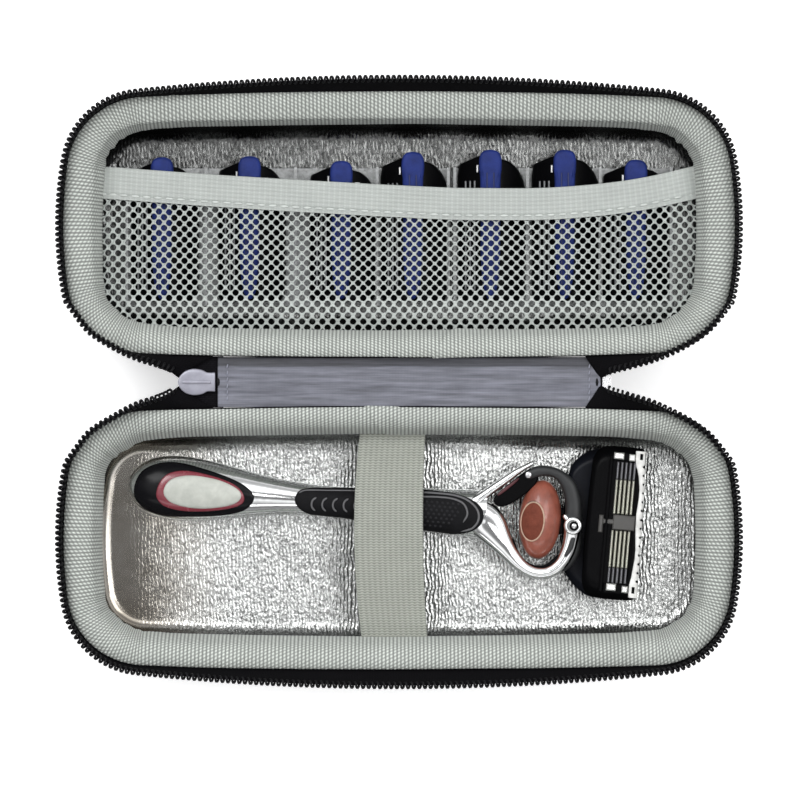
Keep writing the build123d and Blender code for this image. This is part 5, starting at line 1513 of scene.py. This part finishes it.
def make_cartridge():
    """Cartridge: frame, blades, bridge, clips and the white comb."""
    frame_piece = razor_slab("cartridge_frame", rounded_plan(
        ((53.8, 17.5), (55.0, 20.6), (57.0, 21.7), (66.9, 21.8), (67.3, 21.4), (67.5, -19.2),
         (67.2, -19.9), (57.0, -19.9), (54.6, -18.9), (53.6, -15.5)), 96, 1), -1.3, 5.1, edge=0.7)
    stand_for(frame_piece, ["head_frame"], "frame", "razor_head")
    # Each blade is bright steel in its middle and a darker copy of the same steel at its ends:
    # painted shade.
    blades = {"bright": [], "dark": []}
    for number in range(5):
        u = 60.0 + 1.18 * number
        for low, high, group in ((-15.9, -11.6, "dark"), (-11.5, -1.1, "bright"),
                                 (3.5, 13.2, "bright"), (13.3, 18.2, "dark")):
            blades[group].append(((u, low, 4.7), (u + 0.72, high, 5.65)))
    for name, node_name, finish, slot, bevel, boxes in (
            ("rails", "head_frame", "frame", "razor_black", 0.25,
             (((57.9, -18.6, 4.6), (58.9, 19.9, 5.8)), ((65.6, -15.4, 4.6), (66.2, 17.6, 5.6)),
              ((58.4, 18.5, 4.6), (66.0, 20.9, 5.5)), ((59.0, -18.9, 4.6), (66.6, -16.1, 5.5)))),
            ("blades", "head_blades", "blade", "blade_steel", 0.2, blades["bright"]),
            ("blade_ends", "head_blades", "blade_end", "blade_steel", 0.2, blades["dark"]),
            ("bridge", "head_frame", "bridge", "razor_black", 0.3,
             (((60.2, -0.9, 4.6), (66.4, 3.3, 5.9)), ((57.3, 0.5, 4.6), (60.6, 1.9, 5.75)),
              ((56.3, -2.0, 4.6), (57.5, 2.9, 5.7)))),
            ("clips", "head_clips", "clip", "clip_silver", 0.3,
             (((59.0, 18.9, 4.9), (61.8, 20.8, 6.2)), ((63.3, 18.6, 4.9), (65.0, 20.6, 6.1)),
              ((59.9, -18.1, 4.9), (62.6, -16.1, 6.2)),
              ((64.3, -18.4, 4.9), (66.0, -16.5, 6.1))))):
        stand_for(bars(f"cartridge_{name}", boxes, bevel), [node_name], finish,
                  "razor_head")
    v = np.arange(-19.6, 21.75, 0.2)
    inner = np.interp(v, (-19.6, -18.5, -16.6, -13.8, -8.8, -6.0, 0.0, 3.8, 8.0, 10.9, 14.3, 17.7,
                          19.5, 21.6),
                      (66.4, 66.2, 66.2, 66.7, 67.2, 67.2, 66.7, 66.6, 66.9, 66.9, 66.4, 65.3,
                       65.0, 65.0))
    outer = np.interp(v, (-19.6, -10.1, 0.5, 11.0, 21.7), (68.9, 68.8, 68.6, 68.4, 68.0))
    notches = np.array([17.25, 14.8, 12.3, 9.9, 7.4, 4.95, 2.35, -0.1, -2.6, -5.0, -7.6, -10.1,
                        -12.6, -15.0])
    near = np.exp(-(np.min(np.abs(v[:, None] - notches[None]), 1) / 0.42) ** 2)
    outer = outer - 0.30 * near
    rows = []
    for share, rise in ((0, 3.6), (0, 5.3), (0.08, 5.7), (0.5, 5.75), (0.85, 5.3), (1, 4.7),
                        (1, 2.6), (0.5, 2.4), (0, 3.6)):
        rows.append(np.column_stack([inner + (outer - inner) * share, v,
                                     rise - 0.15 * near * (share > 0.6)]))
    comb = grid_piece("cartridge_comb", razor_points(np.stack(rows)), False, True)
    stand_for(comb, ["head_comb"], "comb", "razor_head")
    places = [razor_point(float(np.interp(n, v, outer)) - 0.28, n, 5.12) for n in notches]
    stand_for(beads("comb_notches", places, (0.42, 0.42, 0.35)), [], "frame",
              "razor_head")
    stand_for(bars("comb_end_slots", [((66.3, 19.2, 5.3), (67.1, 20.9, 5.95)),
                                      ((67.1, -18.4, 5.3), (67.9, -16.6, 5.95))], 0.15), [],
              "frame", "razor_head")


def make_razor():
    """The whole razor."""
    make_handle()
    make_fork()
    make_ball()
    make_cartridge()


# ---- spares ----
SPARE_SHIFT = (-1.2, -0.9, -2.2, 0.3, 0.9, 0.9, -1.9)    # of each spare's far end
LEFT_SPARES = 4                              # in the left tray


def spare_frame(name, middle, end):
    """Black frame of a spare: a flat slope on its left, a round back on its right."""
    near = SPARE_ENDS[0] + 0.3
    y = np.concatenate([np.linspace(near, near + 2, 5), np.linspace(near + 2.5, end - 12, 24)[1:],
                        np.linspace(end - 11.7, end - 2.2, 26)])
    left = np.interp(y, (near, near + 1.5, end - 7.8, end - 4.6, end - 2.2),
                     (-8.2, -9.1, -9.1, -8.7, -2.9))
    back = np.clip((y - (end - 13.0)) / 9.6, 0, 1)
    right = 3.0 + 7.0 * np.sqrt(np.maximum(1 - back**2, 0.0))
    right = np.minimum(right, np.interp(y, (near, near + 2.5), (8.6, 10.0)))
    share = np.concatenate([np.linspace(0, 0.5, 17), np.linspace(0.5, 1, 23)[1:]])
    rows = []
    for k, place in enumerate(y):
        across = np.where(share < 0.5, left[k] + (share / 0.5) * (-2.7 - left[k]),
                          -2.7 + (share - 0.5) / 0.5 * (right[k] + 2.7))
        slope = 2.6 + (across + 9.1) / 6.4 * 5.6
        past = np.maximum(across - 2.7, 0)
        round_back = 8.2 - 0.3 * past - 0.075 * past**2
        height = np.where(across < -2.7, slope, np.where(across < 2.7, 8.2, round_back))
        rim = np.minimum(across - left[k], right[k] - across)
        height = height - 1.0 * np.exp(-np.maximum(rim, 0) / 0.35)
        height = height - 2.2 * np.clip((place - (end - 2.9)) / 0.7, 0, 1)
        rows.append(np.column_stack([middle + across, np.full(len(across), place),
                                     SPARE_FOOT + height]))
    skirt_low = [np.column_stack([r[:, 0], r[:, 1], np.full(len(r), SPARE_FOOT + 0.4)])
                 for r in (rows[0], rows[-1])]
    points = np.stack([skirt_low[0]] + rows + [skirt_low[1]])
    first, last = points[:, :1].copy(), points[:, -1:].copy()
    first[..., 2] = last[..., 2] = SPARE_FOOT + 0.4
    points = np.concatenate([first, points, last], 1)
    return grid_piece(name, points, False, False)


def make_spares():
    """Seven spare cartridges in their clear trays."""
    near = SPARE_ENDS[0]
    for number, middle in enumerate(SPARE_X):
        tray = "left" if number < LEFT_SPARES else "right"
        body = f"{tray}_spares"
        end = SPARE_ENDS[1] + SPARE_SHIFT[number]
        tag = f"spare_{number + 1}"
        stand_for(spare_frame(f"{tag}_shell", middle, end + 0.8), [f"{tag}_frame"], "frame",
                  body)
        plan = rounded_plan(
            [(middle - 2.75, near + 0.8), (middle + 2.75, near + 0.8), (middle + 2.75, end - 8),
             (middle + 3.2, end - 5.5), (middle + 3.2, end - 1.8), (middle + 1.9, end),
             (middle - 1.9, end), (middle - 3.2, end - 1.8), (middle - 3.2, end - 5.5),
             (middle - 2.75, end - 8)], 96, 2)
        stand_for(slab(f"{tag}_blue_bar", plan, SPARE_FOOT + 6.0, SPARE_FOOT + 10.3, edge=0.9,
                       crown=0.3), [f"{tag}_bar"], "bar", body)
        # Painted shade: two dark blue lines stand where the bar's grooves lie in shade.
        stand_for(bars(f"{tag}_bar_groove_shade", [
            ((middle - 1.15, near + 3, 15.8), (middle - 0.75, end - 6.5, 16.85)),
            ((middle + 0.75, near + 3, 15.8), (middle + 1.15, end - 6.5, 16.85))],
            0.1, np.asarray), [], "bar_dark", body)
        strips = []
        for step in range(3):
            x = middle - 7.2 + step * 1.25
            z = SPARE_FOOT + 2.6 + (x - middle + 9.1) / 6.4 * 5.6
            strips.append(((x, near + 3.5, z - 0.6), (x + 0.6, end - 8.6, z + 0.55)))
        stand_for(bars(f"{tag}_blade_strips", strips, 0.12, np.asarray),
                  [f"{tray}_spare_blades"], "strip", body)
        marks = [((middle - 3.95, end - 6.4, 13.2), (middle - 3.35, end - 4.2, 14.5))]
        # On the first three spares a second small pale bar on the round back is a painted glint,
        # not a part.
        if number < 3:
            marks.append(((middle + 3.6, end - 7.2, 13.2), (middle + 5.2, end - 6.0, 14.4)))
        stand_for(bars(f"{tag}_clip_and_painted_glint", marks, 0.15, np.asarray), [], "clip",
                  body)
    for side in ("left", "right"):
        dress(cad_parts[f"{side}_tray"], "tray")


# ---- stage ----
DOME_GLOW = ((0.0, 0.50), (0.45, 0.42), (0.62, 0.22), (0.74, 0.30), (0.84, 0.85), (0.90, 1.0),
             (0.945, 1.0), (0.972, 0.17), (1.0, 0.14))    # height of the sky, brightness
DOME_STRENGTH = 2.1
LAMPS = (("key_light", (-0.7, 0.9, 1.6), 0.8, 0.8, 14.0),  # name, place, width, height, watts
         ("fill_light", (1.1, 0.5, 1.7), 0.9, 0.9, 8.0),
         ("front_strip", (0.0, -1.2, 1.15), 2.2, 0.22, 4.0),
         ("side_strip", (0.62, 0.0, 1.7), 0.16, 1.2, 3.5))
VIEW_CENTRE = (0.28, -5.04)                  # what the camera looks down on
FLOOR_DROP = 0.2
SENSOR = 36.0


def make_stage():
    """Pale floor, soft lights and the camera."""
    scene = bpy.context.scene
    settings = scene.case_studio
    floor_mesh = bpy.data.meshes.new("studio_floor")
    floor_mesh.from_pydata([(-3, -3, 0), (3, -3, 0), (3, 3, 0), (-3, 3, 0)], [], [(0, 1, 2, 3)])
    floor = bpy.data.objects.new("studio_floor", floor_mesh)
    scene.collection.objects.link(floor)
    floor.location.z = -FLOOR_DROP * MM
    paint = Finish("Pale studio floor", roughness=0.85, specular_ior_level=0.1,
                   emission_strength=0.5, emission_color=(1.0, 1.0, 1.0, 1.0))
    place = paint.place()
    paint.colour(paint.ramp(paint.noise(place, 0.01), ((0.3, shade(settings.floor_colour, 0.99)),
                                                       (0.7, settings.floor_colour))))
    floor_mesh.materials.append(paint.material)
    world = bpy.data.worlds.new("studio_light")
    scene.world = world
    world.use_nodes = True
    tree = world.node_tree
    back = tree.nodes["Background"]
    direction = node(tree, "TexCoord").outputs["Generated"]
    height = node(tree, "SeparateXYZ", {"Vector": direction}).outputs["Z"]
    dome = colour_ramp(tree, height, [(place, (value, value, value * 1.01))
                                      for place, value in DOME_GLOW])
    depth = node(tree, "SeparateXYZ", {"Vector": direction}).outputs["Y"]
    slant = node(tree, "MapRange", {"Value": depth, "From Min": -0.55, "From Max": 0.15,
                                    "To Min": 0.35, "To Max": 1.0}).outputs["Result"]
    both = node(tree, "Mix", {0: 1.0, 6: dome, 7: slant}, data_type="RGBA",
                blend_type="MULTIPLY")
    tree.links.new(both.outputs[2], back.inputs["Color"])
    back.inputs["Strength"].default_value = DOME_STRENGTH
    for name, place, wide, tall, power in LAMPS:
        lamp = bpy.data.lights.new(name, "AREA")
        lamp.shape = "RECTANGLE"
        lamp.size = wide
        lamp.size_y = tall
        lamp.energy = power
        made = bpy.data.objects.new(name, lamp)
        made.location = place
        made.rotation_euler = (-Vector(place)).to_track_quat("-Z", "Y").to_euler()
        scene.collection.objects.link(made)
    camera = bpy.data.cameras.new("studio_camera")
    camera.sensor_width = SENSOR
    camera.lens = SENSOR * settings.camera_height / settings.view_width
    camera.dof.use_dof = False
    camera.clip_end = 50
    view = bpy.data.objects.new("studio_camera", camera)
    view.location = (*(part * MM for part in VIEW_CENTRE), RIM_Z * MM + settings.camera_height)
    scene.collection.objects.link(view)
    scene.camera = view
    scene.view_settings.view_transform = "Standard"


# ---- operators ----
class RAZORCASE_OT_finishes(bpy.types.Operator):
    """Makes the finishes of all the pieces."""

    bl_idname = "razor_case.finishes"
    bl_label = "Finishes"

    def execute(self, context):
        make_finishes()
        return {"FINISHED"}


class RAZORCASE_OT_shells(bpy.types.Operator):
    """Makes the covers, the moulded foam and the foil liners of both halves."""

    bl_idname = "razor_case.shells"
    bl_label = "Covers, foam and liners"

    def execute(self, context):
        for side in HALF:
            make_cover(side)
            make_liner(side)
        return {"FINISHED"}


class RAZORCASE_OT_bindings(bpy.types.Operator):
    """Makes the padded binding of both halves."""

    bl_idname = "razor_case.bindings"
    bl_label = "Bindings"

    def execute(self, context):
        for side in HALF:
            make_binding(side)
        return {"FINISHED"}


class RAZORCASE_OT_zip(bpy.types.Operator):
    """Makes the zip's tapes, coils, chain and gussets."""

    bl_idname = "razor_case.zip"
    bl_label = "Zip"

    def execute(self, context):
        for side in HALF:
            make_zip_side(side)
        make_zip_middle()
        return {"FINISHED"}


class RAZORCASE_OT_slider(bpy.types.Operator):
    """Makes the zip's slider, pull and stop."""

    bl_idname = "razor_case.slider"
    bl_label = "Zip slider"

    def execute(self, context):
        make_slider()
        return {"FINISHED"}


class RAZORCASE_OT_spine(bpy.types.Operator):
    """Makes the nylon spine panel and the fabric behind it."""

    bl_idname = "razor_case.spine"
    bl_label = "Spine panel"

    def execute(self, context):
        make_spine()
        return {"FINISHED"}


class RAZORCASE_OT_strap(bpy.types.Operator):
    """Makes the elastic strap over the razor."""

    bl_idname = "razor_case.strap"
    bl_label = "Elastic strap"

    def execute(self, context):
        make_strap()
        return {"FINISHED"}


class RAZORCASE_OT_pocket(bpy.types.Operator):
    """Makes the mesh pocket and its hem."""

    bl_idname = "razor_case.pocket"
    bl_label = "Mesh pocket"

    def execute(self, context):
        make_pocket()
        return {"FINISHED"}


class RAZORCASE_OT_razor(bpy.types.Operator):
    """Makes the razor's handle, fork, ball and cartridge."""

    bl_idname = "razor_case.razor"
    bl_label = "Razor"

    def execute(self, context):
        make_razor()
        return {"FINISHED"}


class RAZORCASE_OT_spares(bpy.types.Operator):
    """Makes the spare cartridges and their clear trays."""

    bl_idname = "razor_case.spares"
    bl_label = "Spare cartridges"

    def execute(self, context):
        make_spares()
        return {"FINISHED"}


class RAZORCASE_OT_stage(bpy.types.Operator):
    """Sets up the floor, the lights and the camera."""

    bl_idname = "razor_case.stage"
    bl_label = "Stage"

    def execute(self, context):
        make_stage()
        return {"FINISHED"}


STEPS = (RAZORCASE_OT_finishes, RAZORCASE_OT_shells, RAZORCASE_OT_bindings, RAZORCASE_OT_zip,
         RAZORCASE_OT_slider, RAZORCASE_OT_spine, RAZORCASE_OT_strap, RAZORCASE_OT_pocket,
         RAZORCASE_OT_razor, RAZORCASE_OT_spares, RAZORCASE_OT_stage)


class RAZORCASE_PT_panel(bpy.types.Panel):
    """Lists the steps and the settings."""

    bl_idname = "RAZORCASE_PT_panel"
    bl_label = "Razor Case"
    bl_space_type = "VIEW_3D"
    bl_region_type = "UI"
    bl_category = "Razor Case"

    def draw(self, context):
        layout = self.layout
        for step in STEPS:
            layout.operator(step.bl_idname)
        for group in ("case_sizes", "case_colours", "case_studio"):
            box = layout.box()
            settings = getattr(context.scene, group)
            for name in settings.bl_rna.properties.keys():
                if name not in ("rna_type", "name"):
                    box.prop(settings, name)


CLASSES = (CaseSizes, CaseColours, StudioSettings, *STEPS, RAZORCASE_PT_panel)


def register():
    """Registers the classes and the settings."""
    for made in CLASSES:
        bpy.utils.register_class(made)
    bpy.types.Scene.case_sizes = bpy.props.PointerProperty(type=CaseSizes)
    bpy.types.Scene.case_colours = bpy.props.PointerProperty(type=CaseColours)
    bpy.types.Scene.case_studio = bpy.props.PointerProperty(type=StudioSettings)


def unregister():
    """Takes the settings and the classes away."""
    del bpy.types.Scene.case_studio
    del bpy.types.Scene.case_colours
    del bpy.types.Scene.case_sizes
    for made in reversed(CLASSES):
        bpy.utils.unregister_class(made)


def main():
    """Registers the classes and runs every step in order."""
    register()
    for step in STEPS:
        group, name = step.bl_idname.split(".")
        getattr(getattr(bpy.ops, group), name)()


if __name__ == "__main__":
    main()
